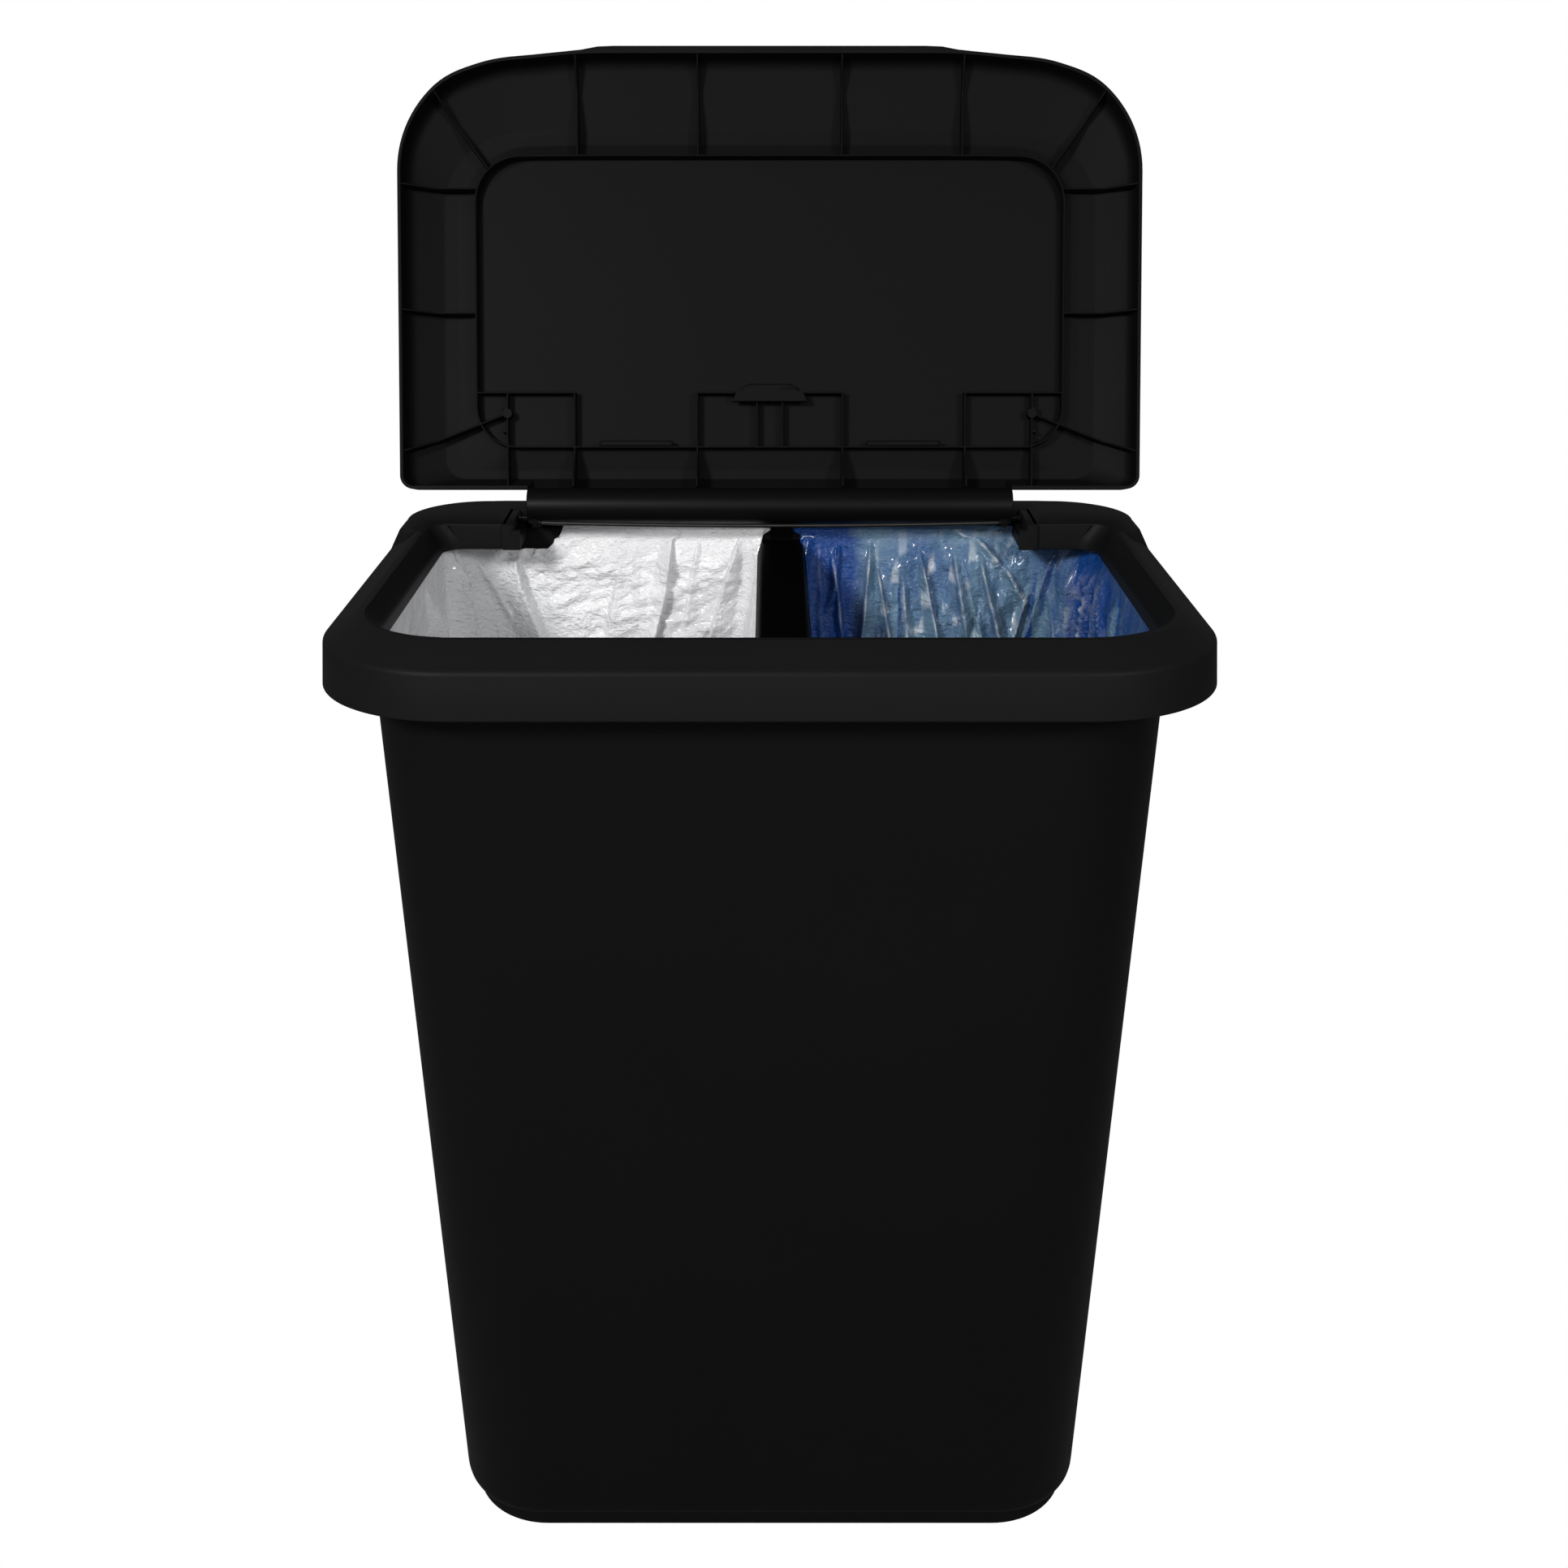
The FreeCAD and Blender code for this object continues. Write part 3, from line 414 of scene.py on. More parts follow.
@dataclass(frozen=True)
class MouldedPlastic:
    """Black moulded polypropylene: fine spark grain, cloudy sheen and a few pale scuffs."""

    name: str
    colour: Colour = (0.003, 0.003, 0.0031)
    roughness: float = 0.46
    grain: float = 0.35
    specular: float = 0.08
    scuffs: float = 0.5

    def material(self) -> bpy.types.Material:
        """Builds the material."""
        s = Shader(self.name)
        where = s.place()
        cloud = s.noise(where, 7.0, 4.0)
        grain = s.noise(where, 1700.0, 2.0, 0.7)
        streak = s.noise(s.place((26.0, 26.0, 5.0)), 9.0, 5.0, 0.7)
        scuff = ((streak - 0.66) * 7.0).clamped() * self.scuffs
        dusty = s.mix(cloud, rgba(self.colour, 0.88), rgba(self.colour, 1.14))
        colour = s.mix(scuff * 0.25, dusty, rgba(self.colour, 3.2))
        rough = (self.roughness - 0.04) + cloud * 0.08 + grain * 0.05 + scuff * 0.12
        normal = s.bump(grain, 0.00004, self.grain)
        normal = s.bump(cloud, 0.0006, 0.05, normal)
        return s.surface({"Base Color": colour, "Roughness": rough, "Normal": normal,
                          "Specular IOR Level": self.specular})


@dataclass(frozen=True)
class DrawnSteel:
    """Thin drawn rod, darkened, with marks round it."""

    name: str = "rod_steel_look"
    colour: Colour = (0.05, 0.048, 0.046)

    def material(self) -> bpy.types.Material:
        """Builds the material."""
        s = Shader(self.name)
        lines = s.noise(s.place((400.0, 1.0, 1.0)), 6.0, 3.0)
        spots = s.noise(s.place(), 60.0, 4.0)
        colour = s.mix(spots, rgba(self.colour, 0.6), rgba(self.colour, 1.1))
        return s.surface({"Base Color": colour, "Metallic": 0.9, "Roughness": 0.3 + lines * 0.2,
                          "Normal": s.bump(lines, 0.00005, 0.3)})


@dataclass(frozen=True)
class BagFilm:
    """Thin crackling film. The mesh carries two values: tint, how deep the colour is, with painted shade and
    sheen in it, and crease, the painted shine of highlights and pale flecks.
    """

    name: str
    pale: Colour
    deep: Colour
    # colour of the painted highlights and pale flecks
    crease: Colour
    roughness: float = 0.14
    wrinkles: float = 1.0

    def material(self) -> bpy.types.Material:
        """Builds the material."""
        s = Shader(self.name)
        tint = s.add("ShaderNodeAttribute", {"attribute_name": "tint"}, {}, "Fac")
        # crease holds the painted shine: highlights along fold ridges and pale flecks
        crease = s.add("ShaderNodeAttribute", {"attribute_name": "crease"}, {}, "Fac")
        soft = s.noise(s.place((1.0, 1.0, 0.35)), 38.0, 4.0, 0.6)
        share = (tint + (soft - 0.5) * 0.5).clamped()
        # painted highlight: the crease value turns the colour towards the pale crease colour
        colour = s.mix(crease * 0.7, s.mix(share, rgba(self.pale), rgba(self.deep)), rgba(self.crease))
        fine = s.add("ShaderNodeTexVoronoi", {"feature": "F1", "distance": "CHEBYCHEV"},
                     {"Vector": s.place((1.0, 1.0, 1.5)), "Scale": 190.0, "Randomness": 1.0}, "Distance")
        crackle = s.noise(s.place((0.6, 0.6, 1.3)), 420.0, 3.0, 0.7)
        normal = s.bump(fine * 0.6 + crackle * 1.0, 0.0022, self.wrinkles)
        rough = self.roughness + soft * 0.12
        return s.surface({"Base Color": colour, "Roughness": rough, "Normal": normal,
                          "Specular IOR Level": 0.7, "Coat Weight": 0.5, "Coat Roughness": 0.07})


# ---------------------------------------------------------------- pieces


@dataclass(frozen=True)
class Piece:
    """What a new object needs: its name and body, a finish's slot name that nothing reads, and the nodes it
    stands for.
    """

    name: str
    body: str
    slot: str
    nodes: tuple[str, ...] = ()
    smooth: float = 32.0

    def build(self, patches: Sequence[Patch], material: bpy.types.Material) -> bpy.types.Object:
        """Joins patches into one mesh, merges their seams, turns it outwards and puts it in the scene.

        Args:
            patches: The surfaces, in the bin's frame.
            material: Finish of the whole piece.

        Returns:
            The new object.
        """
        points, quads, offset = [], [], 0
        for patch in patches:
            quads.append(patch.quads(offset))
            points.append(patch.points.reshape(-1, 3))
            offset += len(points[-1])
        mesh = bpy.data.meshes.new(self.name)
        mesh.from_pydata(np.concatenate(points).tolist(), [], np.concatenate(quads).tolist())
        work = bmesh.new()
        work.from_mesh(mesh)
        bmesh.ops.remove_doubles(work, verts=work.verts, dist=2e-6)
        bmesh.ops.dissolve_degenerate(work, edges=work.edges, dist=1e-7)
        bmesh.ops.recalc_face_normals(work, faces=work.faces)
        work.to_mesh(mesh)
        work.free()
        mesh.polygons.foreach_set("use_smooth", np.ones(len(mesh.polygons), dtype=bool))
        mesh.set_sharp_from_angle(angle=math.radians(self.smooth))
        return self.register(mesh, material)

    def register(self, mesh: bpy.types.Mesh, material: bpy.types.Material) -> bpy.types.Object:
        """Links a finished mesh, and says what it rides on and stands for."""
        mesh.materials.append(material)
        thing = bpy.data.objects.new(self.name, mesh)
        bpy.context.scene.collection.objects.link(thing)
        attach(thing, self.body)
        if self.nodes:
            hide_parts(*self.nodes)
        log.info("%s: %d faces", self.name, len(mesh.polygons))
        return thing


@dataclass
class Tub:
    """Tapered tub with a rolled rim, a bead under the collar and a recessed foot."""

    rim_half: float = 0.247
    rim_end: float = 0.166
    rim_height: float = 0.6803
    foot_height: float = 0.016
    side_taper: float = 0.017
    end_taper: float = 0.018
    top_corner: float = 0.062
    base_corner: float = 0.064
    wall: float = 0.003
    base_round: float = 0.009
    foot_inset: float = 0.0075
    foot_corner: float = 0.058
    flange: float = 0.010
    lip: float = 0.009
    bead_top: float = 0.647
    bead_height: float = 0.005
    bead_proud: float = 0.0016
    plinth_height: float = 0.012
    sampling: Sampling = Sampling(22, (30, 24, 30, 24))

    def share(self, z: float) -> float:
        """0 at the rim, 1 at the foot."""
        return (self.rim_height - z) / (self.rim_height - self.foot_height)

    def half(self, z: float) -> float:
        """Half width at a height."""
        return self.rim_half - self.side_taper * self.share(z)

    def end(self, z: float) -> float:
        """Half depth at a height."""
        return self.rim_end - self.end_taper * self.share(z)

    def corner(self, z: float) -> float:
        """Corner radius at a height."""
        return self.top_corner + (self.base_corner - self.top_corner) * self.share(z)

    def at(self, z: float, inset: float) -> Array:
        """Level of the tub's walls, taken in by inset."""
        end, corner = self.end(z) - inset, self.corner(z) - inset
        return level(z, self.half(z) - inset, -end, end, corner, corner)

    def foot_at(self, z: float, inset: float) -> Array:
        """Level of the foot, taken in by inset."""
        base = self.foot_height
        end = self.end(base) - self.foot_inset - inset
        corner = self.foot_corner - inset
        return level(z, self.half(base) - self.foot_inset - inset, -end, end, corner, corner)

    def profile(self) -> Array:
        """Levels from the floor inside, over the rim and down to the underside."""
        t, top, base = self.wall, self.rim_height, self.foot_height
        bead = self.bead_top
        rows = [
            (self.foot_at(t, t + 0.012), 0), (self.foot_at(t, t), 0.004),
            (self.foot_at(base + 0.003, t), 0.002),
            (self.at(base + t, t + 0.004), 0.002), (self.at(base + self.base_round, t), 0.006),
            (self.at(top * 0.5, t), 0), (self.at(top, t), 0.0012), (self.at(top, -self.flange), 0.0022),
            (self.at(top - self.lip, -self.flange), 0.0009), (self.at(top - self.lip, -self.flange + t), 0.0009),
            (self.at(top - t, -self.flange + t), 0.002), (self.at(top - t, 0), 0.002),
            (self.at(bead, 0), 0.0006), (self.at(bead, -self.bead_proud), 0.0006),
            (self.at(bead - self.bead_height, -self.bead_proud), 0.0006),
            (self.at(bead - self.bead_height, 0), 0.0012),
            (self.at(top * 0.7, 0), 0), (self.at(top * 0.35, 0), 0),
            (self.at(base, 0), self.base_round), (self.at(base, self.foot_inset - 0.0002), 0.0008),
            (self.foot_at(base - 0.0006, 0), 0), (self.foot_at(0.0, 0), 0.0016), (self.foot_at(0.0, 0.02), 0),
        ]
        return eased([row for row, _ in rows], [reach for _, reach in rows], 5)

    def build(self, material: bpy.types.Material) -> None:
        """Makes the tub with the low plinth on its floor."""
        height = (self.wall - 0.001, self.wall + self.plinth_height)
        plinth = block((-0.0093, 0.0269), (-0.108, 0.108), height, 0.002)
        piece = Piece("tub", "bin", "tub_plastic", ("body_tub",))
        piece.build(closed_stack(self.profile(), self.sampling) + plinth, material)


@dataclass
class Divider:
    """Hollow divider with rounded shoulders, whose neck at each end hooks over the tub's rim."""

    tub: Tub
    middle: float = 0.0088
    width: float = 0.035
    spread: float = 0.005
    top: float = 0.671
    floor: float = 0.0033
    clearance: float = 0.0009
    corner: float = 0.012
    crown: float = 0.0095
    hook_width: float = 0.0154
    hook_root: float = 0.019
    hook_thick: float = 0.0024
    rim_gap: float = 0.0003

    def half(self, z: float) -> float:
        """Half of the divider's width at a height."""
        return (self.width + self.spread * (self.top - z) / (self.top - self.floor)) / 2

    def at(self, z: float, inset: float) -> Array:
        """Level of the divider, taken in by inset, with its ends clear of the tub."""
        end = self.tub.end(z) - self.tub.wall - self.clearance - inset
        corner = self.corner - inset
        return level(z, self.half(z) - inset, -end, end, corner, corner, self.middle)

    def hook(self) -> list[Patch]:
        """Neck, arm and ledge of the rear hook."""
        wall = self.tub.end(self.top) - self.tub.wall - self.clearance
        root = self.top - self.crown - self.hook_thick
        top = self.tub.rim_height + self.rim_gap + self.hook_thick
        rows = []
        for share in np.linspace(0, 1, 6):
            half = (self.hook_root + (self.hook_width - self.hook_root) * share) / 2
            height = root + (top - root) * share
            rows.append(level(height, half, wall - self.hook_thick, wall, 0.0006, 0.0006, self.middle))
        half = self.hook_width / 2
        side = (self.middle - half, self.middle + half)
        reach = (wall - 0.0012, self.tub.rim_end + self.tub.flange)
        arm = block(side, reach, (top - self.hook_thick, top), 0.0008)
        half = self.width / 2 - 0.003
        side = (self.middle - half, self.middle + half)
        ledge = block(side, (wall - self.hook_thick, wall), (root, self.top), 0.0006)
        return closed_stack(np.array(rows), Sampling(3, (6, 1, 6, 1))) + arm + ledge

    def build(self, material: bpy.types.Material) -> None:
        """Makes the divider and both of its hooks."""
        heights = [self.floor, 0.022, 0.034, 0.2, 0.45, self.top]
        step = self.tub.foot_inset * 0.9
        rows = [self.at(z, step if z < 0.03 else 0.0) for z in heights] + [self.at(self.top, self.crown)]
        levels = eased(rows, [0, 0.002, 0.006, 0, 0, self.crown, 0], 8)
        hook = self.hook()
        front = placed(hook, lambda points: points * (1, -1, 1))
        body = closed_stack(levels, Sampling(10, (6, 24, 6, 24)))
        piece = Piece("divider", "bin", "divider_plastic", ("divider_panel",))
        piece.build(body + hook + front, material)


@dataclass
class Collar:
    """Lift-off frame: skirt, bevel, ridge, funnel round the mouth, and a rear deck with the hinge recess.

    Its section is carried once round. The outer rows follow the skirt's outline and the inner rows the
    mouth's, which steps back round the recess, and the flat of the deck spans between them.
    """

    half: float = 0.275
    end: float = 0.194
    deck: float = 0.694
    crease: float = 0.6803
    hem: float = 0.6516
    draft: float = 0.0025
    front_corner: float = 0.088
    rear_corner: float = 0.060
    wall: float = 0.0028
    bevel: float = 0.021
    land: float = 0.005
    mouth_rear: float = 0.115
    mouth_corner: float = 0.064
    mouth_rear_corner: float = 0.014
    throat_in: float = 0.0092
    throat_drop: float = 0.012
    funnel_drop: float = 0.019
    deck_tuck: float = 0.007
    deck_back_tuck: float = 0.001
    shoulder: Span = (0.094, 0.103)
    recess_half: float = 0.1836
    slot_half: float = 0.1935
    slot_mid: float = 0.1885
    recess_back: float = 0.1615
    slot_drop: float = 0.008
    shelf: float = 0.6826

    def outer(self) -> tuple[Array, Array, Array]:
        """Skirt outline at the crease, from the middle of the front round to the middle of the back.

        Returns:
            Its points in plan, their outward normals, and the mouth's point for each of them.
        """
        w, e, f, r = self.half, self.end, self.front_corner, self.rear_corner
        inset = self.bevel + self.land
        m, mc, rc = w - inset, self.mouth_corner, self.mouth_rear_corner
        front, rear = -e + inset, self.mouth_rear

        def arc(x: float, y: float, radius: float, start: float, count: int) -> Array:
            turn = np.radians(start + np.linspace(0, 90, count))
            return np.stack([x + radius * np.cos(turn), y + radius * np.sin(turn)], axis=1)

        ahead, side, behind = (0, -1), (1, 0), (0, 1)
        slot, back = self.slot_half, self.recess_back
        runs = [
            (straight((0, -e), (w - f, -e), 22), straight((0, front), (m - mc, front), 22), ahead, ahead),
            (arc(w - f, -e + f, f, 270, 30), arc(m - mc, front + mc, mc, 270, 30), ahead, side),
            (straight((w, -e + f), (w, 0.085), 22), straight((m, front + mc), (m, 0.085), 22), side, side),
            (straight((w, 0.085), (w, 0.112), 22), straight((m, 0.085), (m, rear - rc), 22), side, side),
            (straight((w, 0.112), (w, e - r), 12), arc(m - rc, rear - rc, rc, 0, 12), side, side),
            (arc(w - r, e - r, r, 0, 26), straight((m - rc, rear), (slot, rear), 26), side, behind),
            (straight((w - r, e), (0.205, e), 10), straight((slot, rear), (slot, back), 10), behind, behind),
            (straight((0.205, e), (0, e), 22), straight((slot, back), (0, back), 22), behind, behind),
        ]
        outer, inner, normals = [], [], []
        for out, into, start, stop in runs:
            turn = np.linspace(math.atan2(start[1], start[0]), math.atan2(stop[1], stop[0]), len(out))
            outer.append(out)
            inner.append(into)
            normals.append(np.stack([np.cos(turn), np.sin(turn)], axis=1))
        return np.concatenate(outer), np.concatenate(normals), np.concatenate(inner)

    def section(self) -> Array:
        """Rows of the right half of the collar, closed round its section."""
        outline, normal, mouth = self.outer()
        y = outline[:, 1]
        rise = smooth_step((y - self.shoulder[0]) / (self.shoulder[1] - self.shoulder[0]))
        behind_share = unit(normal[:, 1])
        tuck = self.deck_tuck + (self.deck_back_tuck - self.deck_tuck) * behind_share * (y > 0.1)
        bevel = self.bevel + (tuck - self.bevel) * rise
        inwards = np.where((y > self.shoulder[1])[:, None], (0.0, 0.0), (1.0, 1.0))
        behind = mouth[:, 1] > self.mouth_rear - 0.0001
        into = -normal * np.where(behind, 0.0, 1.0)[:, None]
        rear_run = (mouth[:, 1] > self.mouth_rear - self.mouth_rear_corner) & ~behind
        into[rear_run] = (-1.0, 0.0)
        level_count = len(y)

        def out(inset: Union[float, Array], z: float) -> Array:
            plan = outline - normal * (inset * np.ones(level_count))[:, None]
            return np.column_stack([plan, np.full(level_count, z)])

        def inn(inset: float, z: Union[float, Array]) -> Array:
            plan = mouth + into * inset
            return np.column_stack([plan, z * np.ones(level_count)])

        t = self.wall
        within = np.abs(mouth[:, 0]) < self.slot_half - 0.0001
        notch = (mouth[:, 1] > self.mouth_rear + 0.0001) | within & behind
        low = np.where(notch, self.shelf, self.deck - self.funnel_drop)
        mid = np.where(notch, (self.deck + self.shelf) / 2, self.deck - self.throat_drop)
        under = self.deck - t * 1.15
        away = np.where(notch[:, None], (0.0, 1.0), -into)
        corner_out = np.where((behind & ~notch)[:, None], (0.0, 1.0), away)
        back = np.column_stack([corner_out * t, np.zeros(level_count)])
        rows = [
            (out(-self.draft + 0.0003, self.hem), 0.0), (out(-self.draft, self.hem + 0.0004), 0.0003),
            (out(0.0, self.crease), 0.0022), (out(bevel, self.deck), 0.0026), (inn(0.0, self.deck), 0.0012),
            (inn(self.throat_in, mid), 0.002), (inn(self.throat_in + 0.0013, low), 0.0008),
            (inn(self.throat_in + 0.0013, low) + back, 0.0008), (inn(self.throat_in, mid) + back, 0.001),
            (inn(0.0, under) + back, 0.001), (out(bevel + t * 0.3, under), 0.001),
            (out(t, self.crease - 0.0016), 0.001), (out(t - self.draft, self.hem), 0.0),
        ]
        smooth = eased([row.reshape(-1) for row, _ in rows], [reach for _, reach in rows])
        return smooth.reshape(-1, level_count, 3)

    def housing(self) -> list[Patch]:
        """Slot floor, cheek and boss at the right end of the recess."""
        low, slot = self.deck - self.funnel_drop, self.deck - self.slot_drop
        inner, outer = self.recess_half, self.slot_half + self.wall
        start, stop = self.mouth_rear - 0.0026, self.recess_back + 0.002
        return (block((inner, outer - 0.0004), (start, stop), (slot - self.wall, slot))
                + block((inner - 0.0008, outer), (start - 0.0001, start + 0.0030), (low, self.deck - 0.0045))
                + block((self.slot_mid, outer), (start - 0.0002, stop), (slot - self.wall, self.deck))
                + block((inner, inner + self.wall), (start, 0.1588), (low, slot - 0.0002)))

    def seat_ribs(self) -> list[Patch]:
        """Ribs under the right half of the bevel and deck, which rest on the tub's rim."""
        seat, top = 0.6817, self.deck - self.wall
        patches = []
        for y in (-0.09, -0.01, 0.07):
            patches += block((0.2485, 0.2555), (y - 0.0011, y + 0.0011), (seat, top), 0.0003)
        for x in (0.06, 0.15):
            patches += block((x - 0.0011, x + 0.0011), (-0.1745, -0.1675), (seat, top), 0.0003)
            patches += block((x - 0.0011, x + 0.0011), (0.1645, 0.1905), (seat, top), 0.0003)
        return patches

    def build(self, material: bpy.types.Material) -> None:
        """Makes the collar from its right half and the mirror image of it."""
        section = [Patch(self.section(), wrap_rows=True)]
        patches = mirrored(section + self.housing() + self.seat_ribs())
        Piece("collar", "collar", "collar_plastic", ("collar_frame",), 38.0).build(patches, material)


@dataclass
class Lid:
    """Domed lid with its underside ribs, drawn shut and then swung open about the hinge.

    Each row of the dome gives its rise, how far its outline is set in at the sides, front and rear, and
    how far the bend there reaches. The rows climb to a crown and then sink to the middle panel.
    """

    half: float = 0.275
    front: float = -0.1925
    axis_y: float = 0.1487
    axis_z: float = 0.6907
    hem: float = 0.6811
    open_angle: float = 108.9
    wall: float = 0.0024
    rise: float = 0.030
    front_corner: float = 0.088
    rear: float = 0.0204
    rear_corner: float = 0.010
    hood_rear: float = 0.0108
    hood_half: float = 0.180
    rib: float = 0.0017
    rib_edge: float = 0.015
    rib_foot: float = 0.0015
    rib_run: float = 0.0254
    ring_side: float = 0.0542
    ring_front: float = 0.071
    ring_rear: float = 0.0527
    ring_corner: float = 0.034
    box_front: float = 0.094
    leg_edge: float = 0.004
    inner_leg: float = 0.0545
    outer_leg: float = 0.1466
    post: float = 0.197
    corner_reach: float = 0.0785
    front_ribs: tuple[float, ...] = (0.0535, 0.1436)
    side_ribs: tuple[float, ...] = (0.245, 0.153)
    lip_half: float = 0.141
    lip_ramp: float = 0.017
    lip_proud: float = 0.0028
    lip_height: float = 0.007
    stay: float = 0.0095
    catch_half: float = 0.028
    catch_drop: float = 0.007
    tab: Span = (0.0725, 0.128)
    tab_thick: float = 0.0046
    slack: float = 0.0052
    hood_reach: float = 0.006
    crown_reach: float = 0.0284
    apron_rise: float = 0.028
    panel_rise: float = 0.0268
    barrel_offset: float = 0.0092
    barrel_clear: float = 0.01335
    dome: tuple[tuple[float, float, float, float, float], ...] = (
        (0.0, 0.0, 0.0, 0.0, 0.0), (0.0150, 0.0012, 0.0012, 0.0008, 0.0045),
        (0.0192, 0.0042, 0.0046, 0.0016, 0.0040), (0.0299, 0.0270, 0.048, 0.008, 0.0014),
        (0.0300, 0.0390, 0.0585, 0.0145, 0.0014), (0.0268, 0.0548, 0.0698, 0.031, 0.0007),
        (0.0268, 0.0556, 0.0708, 0.032, 0.0))
    sampling: Sampling = Sampling(26, (30, 18, 60, 18))

    def dome_rows(self) -> Array:
        """Rise and the three insets, with the bends between the rows rounded."""
        rows = np.array(self.dome)
        return eased(list(rows[:, :4]), list(rows[:, 4]), 5)

    def levels(self, inset: float, drop: float) -> Array:
        """Levels of the dome, taken in by inset and down by drop, hem first."""
        rise, side, front, rear = self.dome_rows().T
        corner = self.front_corner - 0.55 * front - inset
        back = self.axis_y - self.rear - rear - inset
        rear_corner = self.rear_corner + rear - inset
        lowered = self.hem + rise - drop * unit(rise / 0.006)
        half = self.half - side - inset
        return np.stack([lowered, -half, half, self.front + front + inset, back,
                         corner, corner, rear_corner, rear_corner], axis=1)

    def hooded(self, points: Array, inset: float) -> Array:
        """Moves the rear rows back to the hood's apron over the barrel, where |x| is below hood_half."""
        moved = points.copy()
        limit = self.axis_y - self.rear - self.hood_reach
        over = (np.abs(points[..., 0]) < self.hood_half) & (points[..., 1] > limit)
        moved[..., 1] = np.where(over, self.axis_y - self.hood_rear - inset, points[..., 1])
        moved[..., 2] = np.where(over, np.maximum(points[..., 2], self.axis_z), points[..., 2])
        return moved

    def rear_steps(self, points: Array) -> Array:
        """Gathers the rear samples into the hood's width, with a pair at each of its ends.

        Along the rear edge x goes from right to left; the four samples nearest to each end of the hood
        move to hood_half plus or minus a hair, so that the step there is crisp. The last row stays even.
        """
        moved = points.copy()
        s = self.sampling
        kept = points[-1].copy()
        start = 3 * s.arc + s.sides[0] + s.sides[1]
        count = s.sides[2]
        side = points[:, start - 1, 0][:, None]
        hair = 0.0002
        outer = np.linspace(0.0, 1.0, 8)[1:]
        right = side + (self.hood_half + hair - side) * outer
        middle = np.linspace(self.hood_half - hair, -self.hood_half + hair, count - 14)
        middle = np.broadcast_to(middle, (len(points), count - 14))
        moved[:, start:start + count, 0] = np.concatenate([right, middle, -right[:, ::-1]], axis=1)
        moved[-1] = kept
        return moved

    def shell(self) -> list[Patch]:
        """Outer and inner dome, joined along the hem."""
        outer = ring_points(self.levels(0.0, 0.0), self.sampling)
        inner = ring_points(self.levels(self.wall, self.wall), self.sampling)
        outer = self.hooded(self.rear_steps(outer), 0.0)
        inner = self.hooded(self.rear_steps(inner), self.wall)
        lip = unit((self.lip_half - np.abs(outer[..., 0])) / self.lip_ramp)
        lip *= outer[..., 1] < -0.15
        lip *= unit((self.hem + self.lip_height + 0.0008 - outer[..., 2]) / 0.0016)
        outer[..., 1] -= lip * self.lip_proud
        rim = (outer[0] + inner[0]) / 2 - np.array([0, 0, 0.0003])
        rows = np.concatenate([outer[::-1], rim[None], inner])
        return [Patch(rows, wrap_columns=True), cap(rows[0], 6), cap(rows[-1], 6)]

    def under(self, plan: Array) -> Array:
        """Height of the inner dome's middle over points in plan.

        Level t's outline passes through a point where its rounded-rectangle distance is 0, found by
        halving the span of t, because that distance falls as t rises.
        """
        rows = self.dome_rows()
        places = np.linspace(0, 1, len(rows))
        x, y = np.abs(plan[:, 0]), plan[:, 1]

        def outside(t: Array) -> Array:
            rise, side, front, rear = (np.interp(t, places, column) for column in rows.T)
            half = self.half - side - self.wall
            low, high = self.front + front + self.wall, self.axis_y - self.rear - rear
            corner = np.where(y < 0, self.front_corner - 0.55 * front, self.rear_corner + rear)
            dx = x - (half - corner)
            dy = np.abs(y - (low + high) / 2) - ((high - low) / 2 - corner)
            beyond = np.hypot(np.maximum(dx, 0), np.maximum(dy, 0))
            return beyond + np.minimum(np.maximum(dx, dy), 0) - corner

        low, high = np.zeros(len(plan)), np.ones(len(plan))
        for _ in range(24):
            middle = (low + high) / 2
            inside = outside(middle) < 0
            low, high = np.where(inside, middle, low), np.where(inside, high, middle)
        return self.hem + np.interp(low, places, rows[:, 0]) - self.wall * 0.6

    def edge_depth(self, plan: Array) -> Array:
        """How far points in plan lie inside the hem's outline, in a straight line."""
        x, y = np.abs(plan[:, 0]), plan[:, 1]
        centre_x, centre_y = self.half - self.front_corner, self.front + self.front_corner
        round_part = self.front_corner - np.hypot(x - centre_x, y - centre_y)
        flat_part = np.minimum(self.half - x, y - self.front)
        return np.where((x > centre_x) & (y < centre_y), round_part, flat_part)

    def radial(self, start: Span, stop: Span) -> list[Patch]:
        """Rib from near the hem to the ring: its free edge climbs from the hem, then runs level."""
        path = straight(start, stop, 40)
        depth = self.edge_depth(path)
        climb = unit((depth - 0.0034) / (self.rib_run - 0.0034))
        low = self.hem + self.rib_foot + (self.rib_edge - self.rib_foot) * climb
        top = np.maximum(self.under(path), low + 0.0004)
        return ended(rib(path, top, low, self.rib))

    def ring(self) -> list[Patch]:
        """Closed rib round the panel."""
        half, front = self.half - self.ring_side, self.front + self.ring_front
        rear = self.axis_y - self.ring_rear
        row = level(0.0, half - self.rib / 2, front + self.rib / 2, rear - self.rib / 2,
                    self.ring_corner, self.ring_corner - 0.004)
        path = ring_points(row[None], Sampling(16, (40, 20, 40, 20)))[0, :, :2]
        low = np.full(len(path), self.hem + self.rib_edge)
        return [rib(path, self.under(path), low, self.rib, True)]

    def flat_rib(self, start: Span, stop: Span, low: float) -> list[Patch]:
        """Rib under the flat panel with a level free edge."""
        path = straight(start, stop, 12)
        return ended(rib(path, self.under(path), np.full(len(path), low), self.rib))

